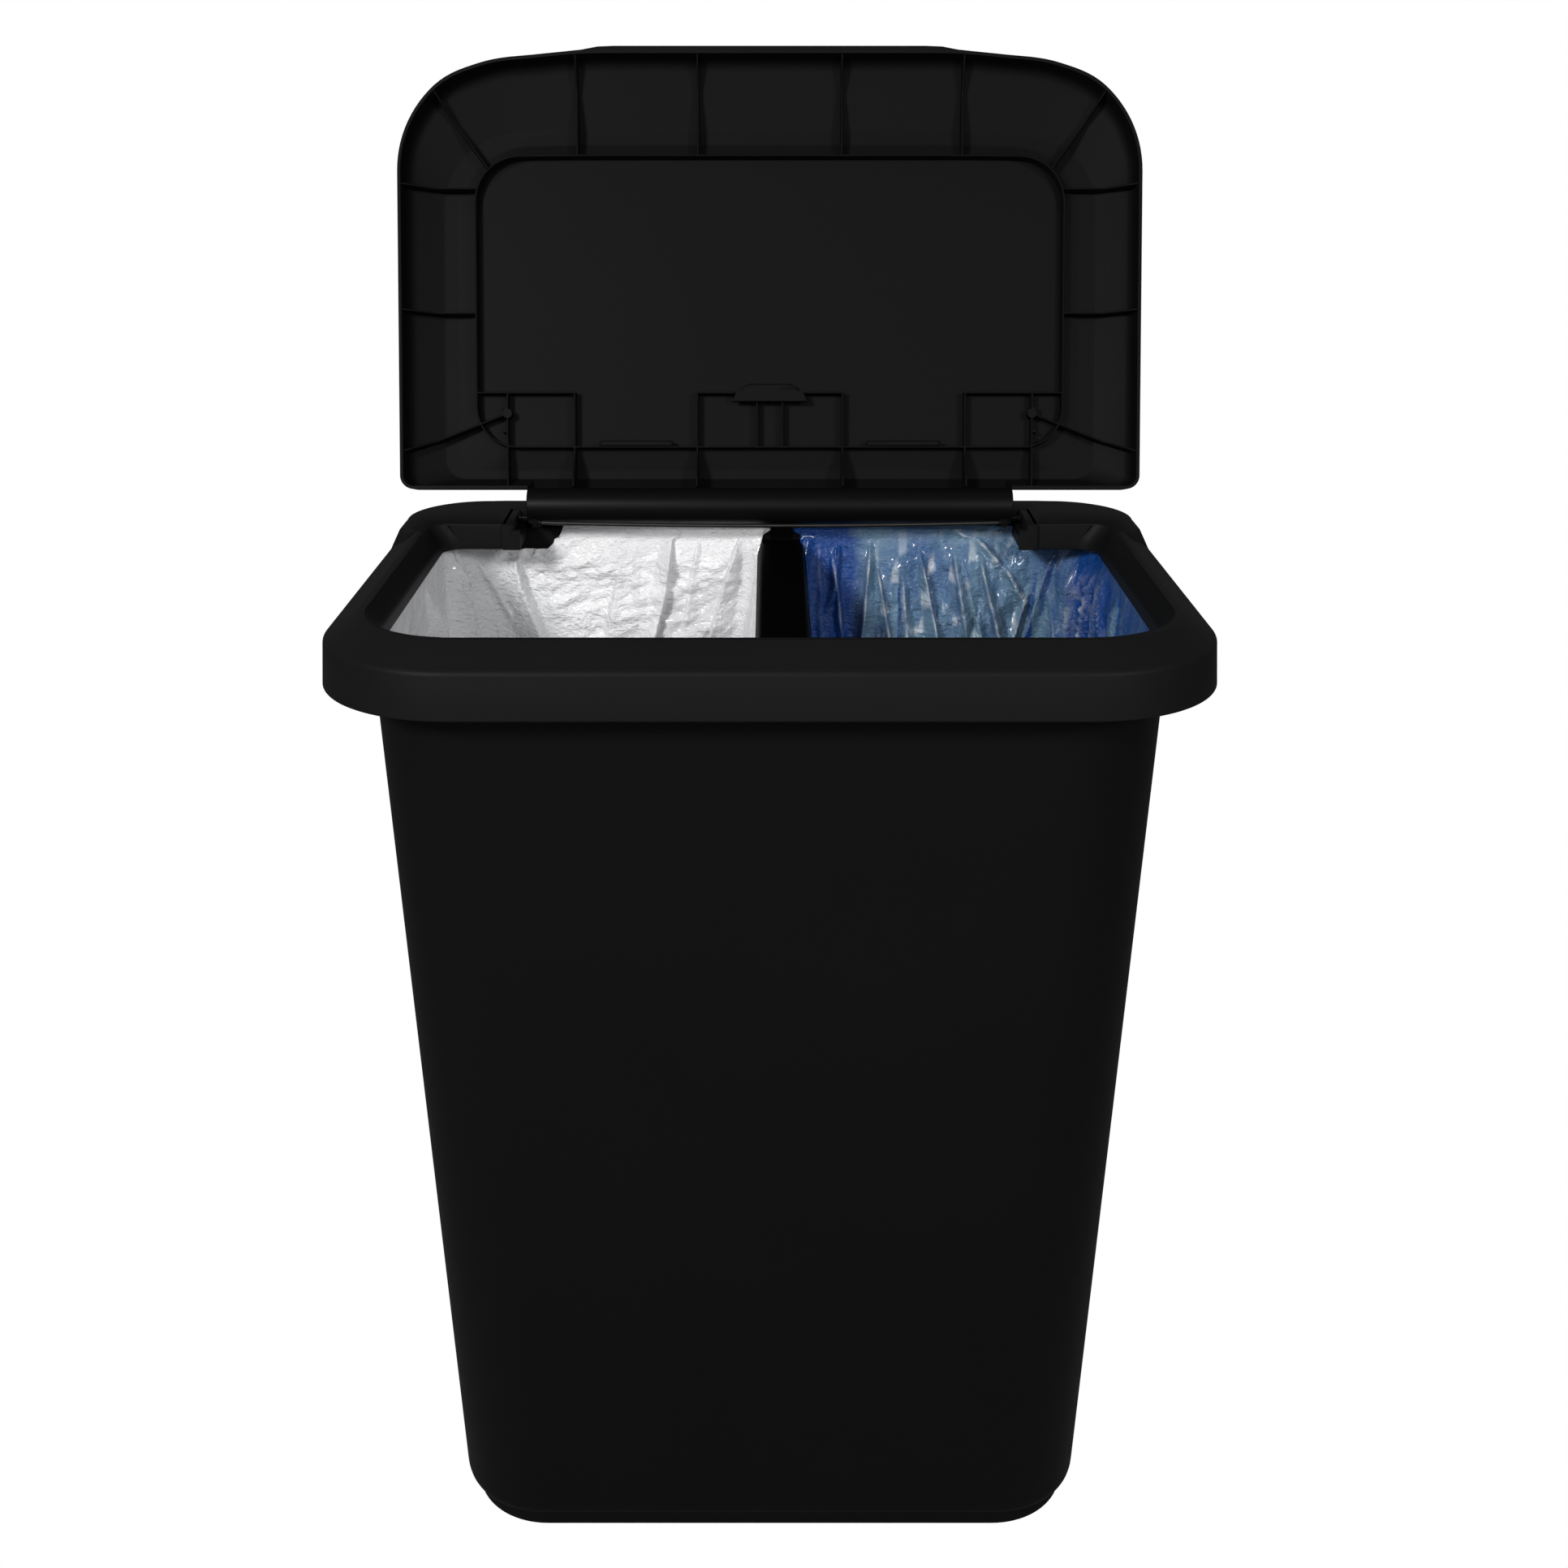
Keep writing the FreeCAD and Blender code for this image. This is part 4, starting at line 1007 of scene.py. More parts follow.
    def leg(self, x: float) -> list[Patch]:
        """Deep rib over the barrel: level under the panel, then dipping towards the hinge."""
        path = straight((x, self.axis_y - self.box_front), (x, self.axis_y - self.hood_rear - 0.001), 60)
        reach = self.axis_y - path[:, 1]
        dip = unit((self.ring_rear - 0.004 - reach) / (self.ring_rear - 0.034))
        low = self.hem + self.rib_edge + (self.leg_edge - self.rib_edge) * dip
        centre_y, centre_z = self.barrel()
        gap = np.abs(path[:, 1] - centre_y)
        over = centre_z + np.sqrt(np.clip(self.barrel_clear ** 2 - gap ** 2, 0, None))
        low = np.where(gap < self.barrel_clear, np.maximum(low, over), low)
        apron = np.interp(reach, [self.hood_rear, self.crown_reach], [self.apron_rise, self.rise])
        apron -= self.wall * 0.6
        top = np.where(reach < self.crown_reach, self.hem + apron, self.under(path))
        return ended(rib(path, top, low, self.rib))

    def barrel(self) -> tuple[float, float]:
        """Barrel's centre, y and z, while the lid is shut."""
        turn = math.radians(self.open_angle)
        return (self.axis_y - self.barrel_offset * math.sin(turn),
                self.axis_z + self.barrel_offset * math.cos(turn))

    def right_half(self) -> list[Patch]:
        """Ribs and small details right of the middle."""
        half, front, axis = self.half - self.ring_side, self.front + self.ring_front, self.axis_y
        corner, ring_corner = self.front_corner * (1 - math.sqrt(0.5)), self.ring_corner * 0.3
        edge, roof = self.hem + self.rib_edge, self.hem + self.panel_rise - self.wall * 0.6
        patches: list[Patch] = []
        for x in self.front_ribs:
            patches += self.radial((x, self.front + 0.0015), (x, front + 0.001))
        for reach in self.side_ribs:
            patches += self.radial((self.half - 0.0015, axis - reach), (half - 0.001, axis - reach))
        patches += self.radial((self.half - corner - 0.001, self.front + corner + 0.001),
                               (half - ring_corner, front + ring_corner))
        patches += self.radial((self.half - 0.0015, axis - 0.0485), (self.post, axis - self.corner_reach))
        cross = axis - self.box_front
        patches += self.flat_rib((self.outer_leg - 0.001, cross), (half, cross), edge)
        patches += self.flat_rib((-0.001, cross), (self.inner_leg + 0.001, cross), edge)
        patches += self.flat_rib((self.stay, cross), (self.stay, axis - self.ring_rear), edge)
        patches += self.radial((self.post, axis - 0.024), (self.post, cross))
        patches += self.leg(self.inner_leg) + self.leg(self.outer_leg)
        for reach in (0.0824, 0.0654):
            y = axis - reach
            patches += block((self.post, self.post + 0.0036), (y - 0.0012, y + 0.0012), (edge, roof))
        y = axis - self.corner_reach
        boss = level(0.0, 0.0034, y - 0.0034, y + 0.0034, 0.0033, 0.0033, self.post)
        rows = [boss + np.array([z] + [0] * 8) for z in (edge - 0.0004, edge, roof)]
        patches += closed_stack(np.array(rows), Sampling(6, (1, 1, 1, 1)))
        rear = axis - self.ring_rear - 0.001
        patches += block(self.tab, (rear - self.tab_thick, rear), (edge - 0.0014, roof), 0.0012)
        return patches

    def catch(self) -> list[Patch]:
        """Plate and low hood in the middle of the hinge box's cross rib."""
        y, edge = self.axis_y - self.box_front, self.hem + self.rib_edge
        roof = self.hem + self.panel_rise - self.wall * 0.6
        flange = []
        for z, out in ((edge - 0.0026, 0.0005), (edge - 0.0021, 0.0), (edge + 0.0008, 0.0)):
            low, high = y - 0.001, y + self.catch_drop - out
            corners = [(-self.catch_half + out, high), (-self.catch_half + 0.003 + out, low),
                       (self.catch_half - 0.003 - out, low), (self.catch_half - out, high)]
            flange.append([(x, along, z) for x, along in corners])
        plate = np.array(flange)
        hood = []
        for z, inset in ((roof - 0.0075, 0.0012), (roof - 0.0065, 0.0), (roof, 0.0)):
            hood.append(level(z, 0.021 - inset, y - 0.0072 + inset, y, 0.006, 0.001))
        flat = [Patch(plate, wrap_columns=True), cap(plate[0]), cap(plate[-1])]
        return flat + closed_stack(np.array(hood), Sampling(8, (6, 1, 6, 1)))

    def slackened(self, points: Array) -> Array:
        """Draws the front edge in a little towards its corners, which are not quite round.

        Points near the front move back by slack * rise(|x|), where rise climbs to 1 before the corner
        and falls again round it, and the move fades out inwards.
        """
        x, y = np.abs(points[:, 0]), points[:, 1]
        rise = smooth_step((x - 0.128) / 0.075) * (1 - 0.62 * smooth_step((x - 0.214) / 0.036))
        moved = points.copy()
        moved[:, 1] += self.slack * rise * (1 - smooth_step((y - self.front) / 0.09))
        return moved

    def swung(self, points: Array) -> Array:
        """Turns points by minus open_angle about the hinge's line along X."""
        turn = math.radians(-self.open_angle)
        y, z = points[:, 1] - self.axis_y, points[:, 2] - self.axis_z
        return np.stack([points[:, 0], self.axis_y + y * math.cos(turn) - z * math.sin(turn),
                         self.axis_z + y * math.sin(turn) + z * math.cos(turn)], axis=1)

    def build(self, material: bpy.types.Material) -> None:
        """Makes the lid with all its ribs, open as in the photograph."""
        patches = self.shell() + self.ring() + mirrored(self.right_half()) + self.catch()
        patches = placed(placed(patches, self.slackened), self.swung)
        Piece("lid", "lid", "lid_plastic", ("lid_shell",)).build(patches, material)


@dataclass
class Hinge:
    """Barrel that turns with the lid, and the bowed steel rod under its front."""

    axis_y: float = 0.1487
    axis_z: float = 0.6907
    radius: float = 0.0132
    offset: float = 0.0092
    half: float = 0.1805
    rod_radius: float = 0.0015
    rod_half: float = 0.1745
    rod_forward: float = 0.011
    rod_drop: float = 0.001
    rod_sag: float = 0.0024

    def barrel(self) -> list[Patch]:
        """Round barrel whose ends are eased and dished a little."""
        dish, radius = self.half - 0.0012, self.radius
        side = np.array([(dish, 0.0), (dish, radius - 0.003), (self.half, radius - 0.0024),
                         (self.half, radius), (0.0, radius)])
        side = eased(side, [0, 0.0006, 0.0004, 0.001, 0])
        profile = np.concatenate([side, side[::-1][1:] * (-1, 1)])
        return [turned_along_x(profile, self.axis_y, self.axis_z + self.offset, 96)]

    def rod(self) -> list[Patch]:
        """Tube along a shallow bow: z falls by sag * (1 - (x / half)^2) in the middle."""
        x = np.linspace(-self.rod_half, self.rod_half, 80)[:, None]
        turn = np.linspace(0, 2 * np.pi, 20, endpoint=False)
        sag = self.rod_sag * (1 - (x / self.rod_half) ** 2)
        y = self.axis_y - self.rod_forward + self.rod_radius * np.cos(turn)
        z = self.axis_z - self.rod_drop - sag + self.rod_radius * np.sin(turn)
        tube = np.stack(np.broadcast_arrays(x, y[None], z), axis=-1)
        return [Patch(tube, wrap_columns=True), cap(tube[0]), cap(tube[-1])]

    def build(self, plastic: bpy.types.Material, steel: bpy.types.Material) -> None:
        """Makes the barrel and the rod."""
        Piece("barrel", "lid", "barrel_plastic", ("hinge_barrel",)).build(self.barrel(), plastic)
        Piece("tie_rod", "lid", "rod_steel", ("hinge_rod",)).build(self.rod(), steel)


@dataclass(frozen=True)
class Fold:
    """One long crease in hanging film, drawn on the wall of its compartment.

    Places are (along, drop): metres along the wall from the divider's rear corner outwards, and down
    from the rim. Near is the crease's width on the divider's side, and far on the other side.
    """

    start: Span
    stop: Span
    near: float
    far: float
    depth: float
    # painted highlight: strength of the pale line along the ridge
    painted_shine: float = 0.0
    # painted shade: the crease's far face is deeper in tint and its near face paler by this much
    shade: float = 0.0
    bow: float = 0.0

    def parts(self, along: Array, drop: Array) -> tuple[Array, Array, Array]:
        """Works out what the crease does to each point of the film.

        The ridge is 1 on the crease's line and falls to 0 at near and far, which grow along it, and
        the fade rises over its first sixth and falls over its last quarter.

        Args:
            along: Distance of each point along the wall.
            drop: Depth of each point under the rim.

        Returns:
            Relief in metres, painted shade as a change of tint between the crease's faces, and a painted
            highlight along the ridge.
        """
        run = np.subtract(self.stop, self.start)
        length = np.hypot(*run)
        way = run / length
        du, dv = along - self.start[0], drop - self.start[1]
        share = np.clip((du * way[0] + dv * way[1]) / length, -0.5, 1.5)
        across = du * way[1] - dv * way[0] - self.bow * np.sin(np.pi * unit(share))
        spread = 0.3 + 0.7 * unit(share)
        ridge = unit(1 - np.abs(across) / (np.where(across > 0, self.far, self.near) * spread))
        fade = unit(share * 6) * unit((1 - share) * 4)
        broken = 0.6 + 0.4 * np.sin(share * 23 + self.start[0] * 900)
        # painted highlight along the ridge's line, broken into pieces
        line = np.exp(-(across / 0.0009) ** 2) * fade * broken
        # painted shade: one face of the crease deeper, the other paler, as the light falls
        shade = self.shade * np.sign(across) * (ridge > 0.02) * fade
        return self.depth * ridge * fade, shade, self.painted_shine * line


WHITE_FOLDS = (
    Fold((0.006, -0.01), (0.034, 0.13), 0.022, 0.0022, 0.009),
    Fold((0.060, -0.02), (0.084, 0.15), 0.0030, 0.020, 0.012, 0.0, 0.0, -0.008),
    Fold((0.187, 0.006), (0.122, 0.14), 0.0075, 0.030, 0.013, 0.0, 0.0, 0.006),
    Fold((0.240, 0.004), (0.210, 0.15), 0.013, 0.030, 0.015),
    Fold((0.214, 0.016), (0.150, 0.12), 0.0045, 0.0045, 0.0035, 0.8),
    Fold((0.228, 0.010), (0.196, 0.12), 0.004, 0.004, 0.003, 0.6),
    Fold((0.310, 0.020), (0.270, 0.16), 0.012, 0.024, 0.010),
    Fold((0.100, 0.030), (0.104, 0.12), 0.020, 0.006, 0.005),
    Fold((0.040, 0.004), (0.046, 0.09), 0.010, 0.004, 0.004),
)
BLUE_FOLDS = (
    Fold((0.018, 0.016), (0.034, 0.13), 0.008, 0.006, 0.007, 0.5, 0.05),
    Fold((0.008, 0.010), (0.012, 0.11), 0.004, 0.006, 0.005, 0.3, 0.05),
    Fold((0.0466, 0.010), (0.039, 0.13), 0.0035, 0.014, 0.011, 0.9, -0.1),
    Fold((0.053, 0.028), (0.066, 0.10), 0.0035, 0.0035, 0.009, 1.0, 0.25),
    Fold((0.0707, 0.030), (0.068, 0.13), 0.006, 0.004, -0.008, 0.0, 0.5),
    Fold((0.073, 0.034), (0.080, 0.14), 0.0015, 0.012, 0.009, 1.0, -0.15),
    Fold((0.087, 0.018), (0.108, 0.13), 0.014, 0.0025, 0.012, 0.8, 0.45),
    Fold((0.111, 0.016), (0.130, 0.14), 0.005, 0.012, 0.010, 0.6, -0.2),
    Fold((0.116, 0.002), (0.152, 0.034), 0.006, 0.004, 0.005, 1.0, 0.2, 0.003),
    Fold((0.131, 0.022), (0.150, 0.10), 0.004, 0.010, 0.012, 1.0, -0.2),
    Fold((0.150, 0.028), (0.170, 0.060), 0.012, 0.003, 0.009, 1.0, 0.25),
    Fold((0.172, 0.045), (0.148, 0.12), 0.012, 0.003, 0.010, 1.0, 0.4),
    Fold((0.192, 0.010), (0.150, 0.14), 0.003, 0.012, 0.009, 0.3, 0.3),
    Fold((0.216, 0.020), (0.214, 0.14), 0.012, 0.003, 0.009, 0.5, 0.35),
    Fold((0.245, 0.020), (0.222, 0.11), 0.003, 0.006, 0.008, 1.0, 0.1),
    Fold((0.262, 0.016), (0.250, 0.12), 0.004, 0.006, 0.006, 0.5, -0.1),
)


@dataclass
class Bag:
    """Film bag in one compartment, hung over the tub's rim, with hanging folds and crumples.

    Tones and crumpled give the tint and the share of fine crumples along the wall, as (along, value),
    both shifted by lean for each metre under the rim. Crumples are (facet size, depth, stretch) rows.
    """

    name: str
    node: str
    slot: str
    side: Side
    seed: int
    tub: Tub
    divider: Divider
    folds: tuple[Fold, ...]
    small_folds: int
    small_depth: float
    # spread of the painted shade between the faces of the small creases
    small_shade: float
    crumples: tuple[tuple[float, float, float], ...]
    # tones paint shade and sheen into the tint: the white film's side wall greyer as in shade, the middle of the
    # blue film's wall paler as with sheen
    tones: tuple[tuple[float, float], ...]
    crumpled: tuple[tuple[float, float], ...]
    # strength of the pale flecks on crumples: partly stress whitening, partly painted glints
    frost_and_painted_glint: float = 0.0
    lean: float = 0.0
    pull: float = 0.0
    dip: float = 0.0
    neck_reach: float = 0.0085
    dip_span: Span = (0.150, 0.215)
    bottom: float = 0.027
    gap: float = 0.0006
    hem_height: float = 0.6812
    hem_width: float = 0.0125
    corner: float = 0.012
    rows: int = 190

    def sampling(self) -> Sampling:
        """Points round the bag, closest on the rear wall and at the far rear corner."""
        if self.side is Side.LEFT:
            return Sampling(12, (30, 36, 200, 110), (1, 1, 1, 5))
        return Sampling(12, (30, 110, 200, 36), (1, 1, 5, 1))

    def at(self, z: float) -> Array:
        """Level of the bag, clear of the tub and divider, and pulled off the divider lower down."""
        inset = self.tub.wall + self.gap
        end, corner = self.tub.end(z) - inset, self.tub.corner(z) - inset
        away = self.divider.half(z) + self.gap + self.pull * min(1.0, (self.hem_height - z) / 0.09)
        near = self.divider.middle + self.side.value * away
        far = self.side.value * (self.tub.half(z) - inset)
        left, right = sorted((near, far))
        by_left, by_right = (self.corner, corner) if self.side is Side.RIGHT else (corner, self.corner)
        return np.array([z, left, right, -end, end, by_left, by_right, by_right, by_left])

    def along(self, points: Array) -> Array:
        """Distance of each point along its row from the divider's rear corner, outwards."""
        step = np.linalg.norm(np.diff(points[..., :2], axis=1, append=points[:, :1, :2]), axis=2)
        s = np.cumsum(step, axis=1) - step
        sampling = self.sampling()
        corner = 2 if self.side is Side.LEFT else 3
        zero = sampling.arc * sum(sampling.finer[:corner]) + sum(sampling.sides[:corner])
        zero += sampling.arc // 2
        return -self.side.value * (s - s[:, zero:zero + 1])

    def rings(self) -> Array:
        """Smooth pouch, bottom up; its last row lies lower along the divider and at the dip."""
        share = 1 - (1 - np.linspace(0, 1, self.rows)) ** 2.2
        heights = self.bottom + (self.hem_height - self.bottom) * share
        points = ring_points(np.array([self.at(z) for z in heights]), self.sampling())
        beside = np.abs(points[..., 0] - self.divider.middle)
        near = unit((0.0265 - beside) / 0.006)
        ends = unit((np.abs(points[..., 1]) - (self.tub.end(self.divider.top) - 0.013)) / 0.006)
        high = unit((points[..., 2] - self.divider.top - 0.0008) / 0.002)
        points[..., 0] -= self.side.value * self.neck_reach * near * ends * high
        fall = near * (1 - ends) * (self.hem_height - (self.divider.top - 0.0085))
        along = self.along(points)
        start, stop = self.dip_span
        open_part = unit((along - start) / 0.012) ** 0.6 * unit((stop - along) / 0.02)
        points[..., 2] -= (fall + self.dip * open_part) * share[:, None] ** 6
        return points

    def small_fold(self, rng: np.random.Generator) -> Fold:
        """One of the many short creases, hanging anywhere round the bag."""
        along, drop = rng.uniform(-0.45, 0.62), rng.uniform(0.004, 0.30)
        length, tilt = rng.uniform(0.04, 0.16), rng.normal(0, 0.22)
        near, far = rng.uniform(0.0025, 0.014, 2)
        depth = self.small_depth * rng.uniform(0.3, 1.0)
        return Fold((along, drop), (along + length * tilt, drop + length), near, far, depth,
                    rng.uniform(-0.6, 0.6), rng.normal(0, self.small_shade), rng.normal(0, 0.003))

    def facets(self, points: Array, size: float, stretch: float, rng: np.random.Generator) -> Array:
        """Height of crumpled film with facets of about this size, from 0 to 1.

        Each fold is a triangle wave, 1 - |2 frac(q.d / w + p) - 1|, along its own direction d. It also
        shifts the place q that the next folds read, so that these break at its crease.
        """
        q = points * (1, 1, stretch)
        height, total = np.zeros(points.shape[:2]), 0.0
        for _ in range(7):
            way = rng.normal(size=3)
            way /= np.linalg.norm(way)
            width = size * rng.uniform(0.8, 2.4)
            wave = 1 - np.abs(2 * ((q @ way / width + rng.uniform()) % 1) - 1)
            height += wave * width
            total += width
            q = q + rng.normal(size=3) * wave[..., None] * width * 0.25
        return height / total

    def creases(self, points: Array) -> tuple[Array, Array, Array]:
        """Adds up all folds and crumples over the pouch.

        Args:
            points: The smooth pouch, (rows, columns, 3).

        Returns:
            Depth in metres, tint from 0 to 1 with painted shade in it, and painted shine from 0 to 1 of each
            point.
        """
        rng = np.random.default_rng(self.seed)
        drop = np.maximum(self.hem_height - points[..., 2], 0.0)
        along = self.along(points)
        wobble = self.facets(points, 0.03, 0.6, rng) - 0.5
        folds = self.folds + tuple(self.small_fold(rng) for _ in range(self.small_folds))
        place = along + 0.004 * wobble
        depth, painted_shine, tint = (np.zeros_like(drop) for _ in range(3))
        for fold in folds:
            relief, shade, line = fold.parts(place, drop)
            joined = np.maximum(depth, relief) + 0.25 * np.minimum(depth, relief)
            depth = np.where(relief < 0, depth + relief, joined)
            # the painted shade of the folds' faces goes into the tint
            tint += shade
            # painted highlights along the folds' ridges
            painted_shine = np.maximum(painted_shine, line)
        band = along + self.lean * drop
        fine = np.interp(band, *zip(*self.crumpled))
        hung = unit(drop / 0.03)
        for size, deep, stretch in self.crumples:
            depth += deep * fine * hung * (self.facets(points, size, stretch, rng) - 0.3)
        # pale flecks on crumpled film: stress whitening and painted glints, carried in the painted shine
        frost_and_painted_glint = self.facets(points, 0.010, 0.5, rng) + 0.35 * self.facets(points, 0.035, 0.5, rng)
        flecks = unit((frost_and_painted_glint - 0.76) * 8) * unit(fine * 1.6 - 0.6)
        painted_shine = np.maximum(painted_shine, self.frost_and_painted_glint * flecks * hung)
        beside = np.clip((np.abs(points[..., 0] - self.divider.middle) - 0.0215) / 0.012, 0.06, 1)
        held = unit(drop / 0.022) * beside
        # the tones' painted shade and sheen along the wall go into the tint
        tint += np.interp(band, *zip(*self.tones)) + 0.7 * wobble
        tint += 1.5 * (self.facets(points, 0.030, 0.3, rng) - 0.5)
        return np.maximum(depth, 0) * held, unit(tint), painted_shine

    def surface(self) -> tuple[Array, Array, Array]:
        """Points of the whole bag, with each point's tint and painted shine."""
        rings = self.rings()
        depth, tint, painted_shine = self.creases(rings)
        ahead = np.roll(rings, -1, axis=1) - np.roll(rings, 1, axis=1)
        normal = np.stack([-ahead[..., 1], ahead[..., 0]], axis=-1)
        normal /= np.linalg.norm(normal, axis=-1)[..., None]
        low = self.hem_height - rings[-1, :, 2]
        over = unit((0.004 - low) / 0.003)[:, None]
        rings[..., :2] += normal * depth[..., None]
        outwards = -normal[-1] * over
        hem = []
        for reach, lift in ((0.0015, 0.0001), (0.006, 0.0001), (self.hem_width, 0.0)):
            row = rings[-1].copy()
            row[:, :2] += outwards * reach
            row[:, 2] += lift
            hem.append(row)
        centre = rings[0].mean(axis=0)
        shares = np.linspace(1, 0.0, 9)[:-1, None, None]
        floor = centre + (rings[0] - centre) * (1 - shares)
        points = np.concatenate([floor, rings, np.array(hem)])
        counts = np.ones(len(rings), dtype=int)
        counts[0] += len(floor)
        counts[-1] += len(hem)
        return points, np.repeat(tint, counts, axis=0), np.repeat(painted_shine, counts, axis=0)

    def build(self, material: bpy.types.Material) -> None:
        """Makes the bag as one sheet of film, with its colour values on the mesh."""
        points, tint, painted_shine = self.surface()
        patch = Patch(points, wrap_columns=True)
        mesh = bpy.data.meshes.new(self.name)
        mesh.from_pydata(points.reshape(-1, 3).tolist(), [], patch.quads(0)[:, ::-1].tolist())
        # crease carries the painted shine of highlights and pale flecks
        for label, values in (("tint", tint), ("crease", painted_shine)):
            layer = mesh.attributes.new(label, "FLOAT", "POINT")
            layer.data.foreach_set("value", np.ascontiguousarray(values.reshape(-1), dtype=np.float32))
        mesh.polygons.foreach_set("use_smooth", np.ones(len(mesh.polygons), dtype=bool))
        bag = Piece(self.name, "bin", self.slot, (self.node,)).register(mesh, material)


# ---------------------------------------------------------------- studio


@dataclass
class Studio:
    """White floor, even light and the camera of the photograph."""

    eye: Place = (0.0, -1.173, 1.0011)
    pitch: float = 21.67
    lens: float = 41.12
    sensor: float = 36.0
    shift: float = 0.00906
    sky: float = 0.14
    floor_half: float = 30.0
    lamps: tuple[tuple[str, Place, Place, float, float], ...] = (
        ("key", (-1.3, -2.1, 1.95), (0.0, 0.1, 0.8), 0.42, 58.0),
        ("fill", (1.4, -2.1, 1.7), (0.0, 0.1, 0.8), 0.42, 24.0),
        ("front", (0.0, -3.4, 1.5), (0.0, 0.0, 0.6), 2.2, 20.0),
        ("back", (0.0, 2.8, 0.35), (0.0, 0.0, 0.6), 0.5, 34.0),
    )

    def camera(self) -> None:
        """Camera in front of the bin, looking down at it."""
        data = bpy.data.cameras.new("camera")
        data.sensor_width = self.sensor
        data.lens = self.lens
        data.shift_x = self.shift
        data.clip_start = 0.01
        camera = bpy.data.objects.new("camera", data)
        camera.location = self.eye
        camera.rotation_euler = (math.radians(90 - self.pitch), 0, 0)
        bpy.context.scene.collection.objects.link(camera)
        bpy.context.scene.camera = camera

    def lights(self) -> None:
        """Area lamps, as (name, place, target, size, power), each turned towards its target."""
        for name, place, target, size, power in self.lamps:
            data = bpy.data.lights.new(name, "AREA")
            data.size = size
            data.energy = power
            lamp = bpy.data.objects.new(name, data)
            lamp.location = place
            aim = np.array(target) - np.array(place)
            aim /= np.linalg.norm(aim)
            lamp.rotation_euler = (math.acos(-aim[2]), 0, math.atan2(aim[1], aim[0]) - math.pi / 2)
            bpy.context.scene.collection.objects.link(lamp)

    def world(self) -> None:
        """White surroundings: full white where they are seen, dimmer as light."""
        world = bpy.data.worlds.new("studio")
        bpy.context.scene.world = world
        world.use_nodes = True
        nodes, links = world.node_tree.nodes, world.node_tree.links
        background = nodes["Background"]
        rays = nodes.new("ShaderNodeLightPath")
        seen = nodes.new("ShaderNodeMath")
        seen.operation = "MAXIMUM"
        links.new(rays.outputs["Is Camera Ray"], seen.inputs[0])
        links.new(rays.outputs["Is Transmission Ray"], seen.inputs[1])
        strength = nodes.new("ShaderNodeMath")
        strength.operation = "MULTIPLY_ADD"
        strength.inputs[1].default_value = 1.0 - self.sky
        strength.inputs[2].default_value = self.sky
        links.new(seen.outputs[0], strength.inputs[0])
        links.new(strength.outputs[0], background.inputs["Strength"])
        background.inputs["Color"].default_value = (1, 1, 1, 1)

    def floor(self) -> None:
        """Plain floor that the camera sees as white and that lights the bin dimly from below."""
        size = self.floor_half
        points = np.array([[(-size, -size, 0.0), (size, -size, 0.0)],
                           [(-size, size, 0.0), (size, size, 0.0)]])
        mesh = bpy.data.meshes.new("floor")
        mesh.from_pydata(points.reshape(-1, 3).tolist(), [], Patch(points).quads(0).tolist())
        s = Shader("floor_white")
        seen = s.add("ShaderNodeLightPath", {}, {}, "Is Camera Ray")
        lit = s.add("ShaderNodeBsdfDiffuse", {}, {"Color": (0.3, 0.3, 0.3, 1)})
        white = s.add("ShaderNodeEmission", {}, {"Color": (1, 1, 1, 1), "Strength": 1.0})
        mixed = s.add("ShaderNodeMixShader", {}, {0: seen, 1: lit, 2: white})
        s.tree.links.new(mixed.socket, s.output.inputs["Surface"])
        mesh.materials.append(s.material)
        floor = bpy.data.objects.new("floor", mesh)
        bpy.context.scene.collection.objects.link(floor)

    def build(self) -> None:
        """Sets up the whole studio."""
        bpy.context.scene.view_settings.view_transform = "Standard"
        self.camera()
        self.lights()
        self.world()
        self.floor()


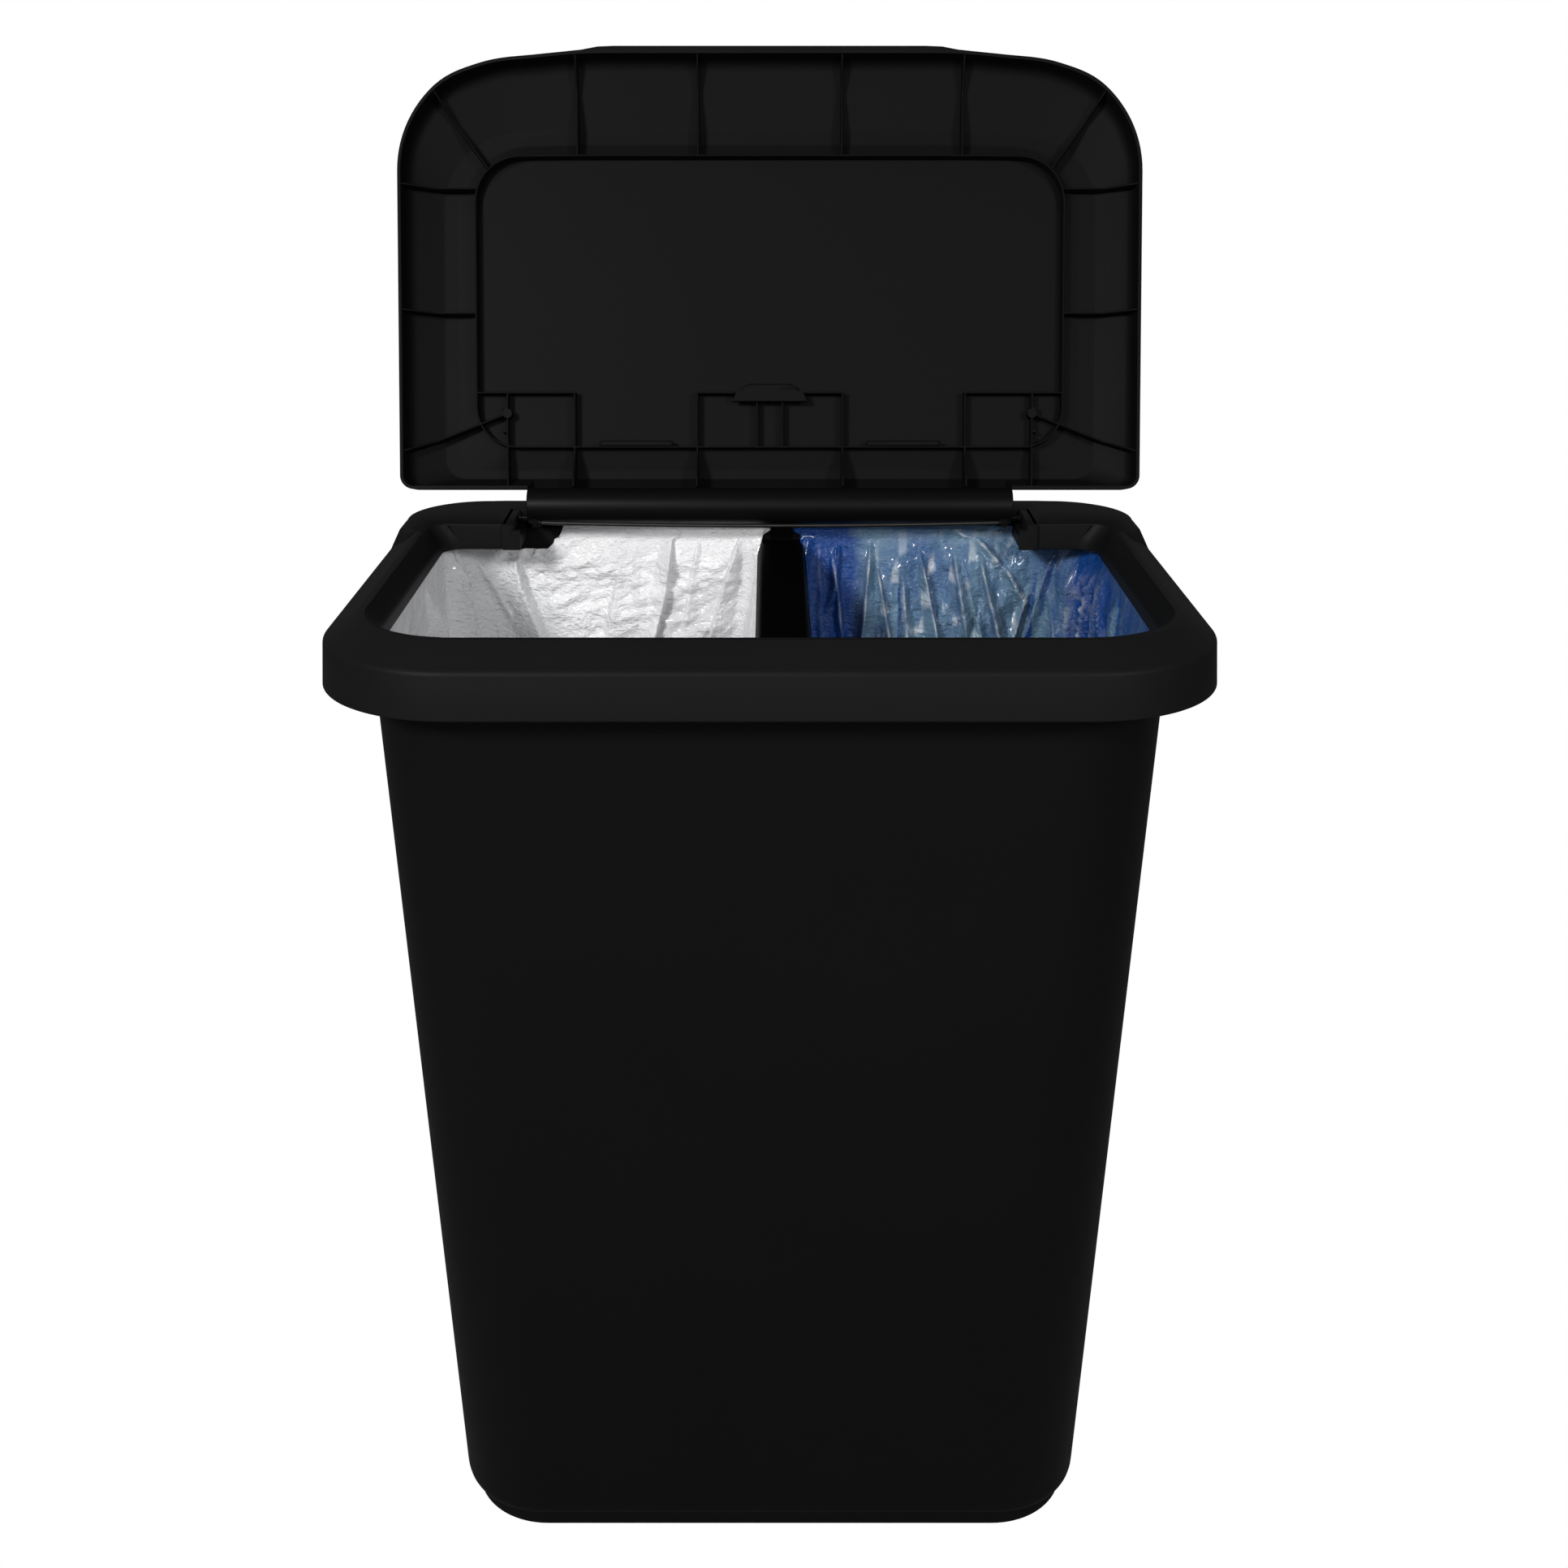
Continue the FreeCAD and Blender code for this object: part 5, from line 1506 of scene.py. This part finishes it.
@dataclass
class RecyclingBin:
    """The whole bin: its finishes and its sub-assemblies in order."""

    tub: Tub = field(default_factory=Tub)
    collar: Collar = field(default_factory=Collar)
    lid: Lid = field(default_factory=Lid)
    hinge: Hinge = field(default_factory=Hinge)

    def small_nodes(self, nodes: dict[str, bpy.types.Object], material: bpy.types.Material) -> None:
        """Dresses the pins, clips and rings, which keep their own shapes."""
        for name, node in nodes.items():
            if name.startswith(("hinge_pin", "rod_clip", "rod_ring")):
                node.data.materials.clear()
                node.data.materials.append(material)

    def build(self, frame: dict[str, Any]) -> None:
        """Makes and dresses every piece.
        """
        divider = Divider(self.tub)
        # One black plastic in five copies whose base colours paint light and shade: the collar lighter and the
        # tub darker than the lid, as light falls on them; the divider's copy is the darkest.
        tub = MouldedPlastic("tub_plastic_look", (0.0030, 0.0030, 0.0031), 0.52)
        collar = MouldedPlastic("collar_plastic_look", (0.0062, 0.0062, 0.0064), 0.5)
        lid = MouldedPlastic("lid_plastic_look", (0.0040, 0.0040, 0.0041), 0.55, specular=0.06)
        dark = MouldedPlastic("divider_plastic_look", (0.0008, 0.0008, 0.0008), 0.5, 0.2, 0.03)
        smooth = MouldedPlastic("hinge_plastic_look", (0.003, 0.003, 0.0031), 0.4, 0.15)
        hinge = smooth.material()
        self.tub.build(tub.material())
        divider.build(dark.material())
        self.collar.build(collar.material())
        self.lid.build(lid.material())
        self.hinge.build(hinge, DrawnSteel().material())
        self.small_nodes(frame["nodes"], hinge)
        self.bags(divider)

    def bags(self, divider: Divider) -> None:
        """Hangs the white bag left of the divider and the blue one right of it."""
        # the third colour of each film is the colour of its painted highlights
        white = BagFilm("film_white_look", (0.93, 0.925, 0.94), (0.78, 0.79, 0.81), (0.97, 0.97, 0.97))
        blue = BagFilm("film_blue_look", (0.13, 0.24, 0.34), (0.0005, 0.052, 0.26), (0.86, 0.90, 0.94))
        Bag("bag_white", "liner_white", "film_white", Side.LEFT, 11, self.tub, divider, WHITE_FOLDS,
            small_folds=40, small_depth=0.004, small_shade=0.15,
            crumples=((0.030, 0.012, 1.3), (0.011, 0.0085, 1.9), (0.0055, 0.0030, 1.7)),
            # tones: the side wall past the corner fold is painted greyer, as in shade
            tones=((0.0, 0.0), (0.17, 0.1), (0.20, 0.7), (0.5, 0.7)),
            crumpled=((0.0, 0.3), (0.012, 0.3), (0.03, 1.0), (0.180, 1.0), (0.195, 0.12), (0.5, 0.12)),
            frost_and_painted_glint=0.3, lean=0.55, pull=0.009, dip=0.0172).build(white.material())
        Bag("bag_blue", "liner_blue", "film_blue", Side.RIGHT, 5, self.tub, divider, BLUE_FOLDS,
            small_folds=150, small_depth=0.007, small_shade=0.35,
            crumples=((0.036, 0.020, 0.35), (0.014, 0.0095, 0.6), (0.006, 0.0028, 0.8)),
            # tones: the middle of the wall painted paler, as with sheen, and deeper by the divider and round the
            # far side
            tones=((0.0, 1.15), (0.034, 1.05), (0.046, 0.3), (0.15, 0.25), (0.175, 0.6), (0.21, 0.4),
                   (0.226, 1.1), (0.5, 1.1)),
            crumpled=((0.0, 0.35), (0.04, 0.4), (0.06, 0.9), (0.155, 1.2), (0.17, 0.15), (0.185, 0.15),
                      (0.20, 0.9), (0.225, 0.45), (0.5, 0.45)),
            frost_and_painted_glint=0.75).build(blue.material())


def main() -> None:
    logging.basicConfig(level=logging.INFO)
    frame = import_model()
    RecyclingBin().build(frame)
    Studio().build()


if __name__ == "__main__":
    main()
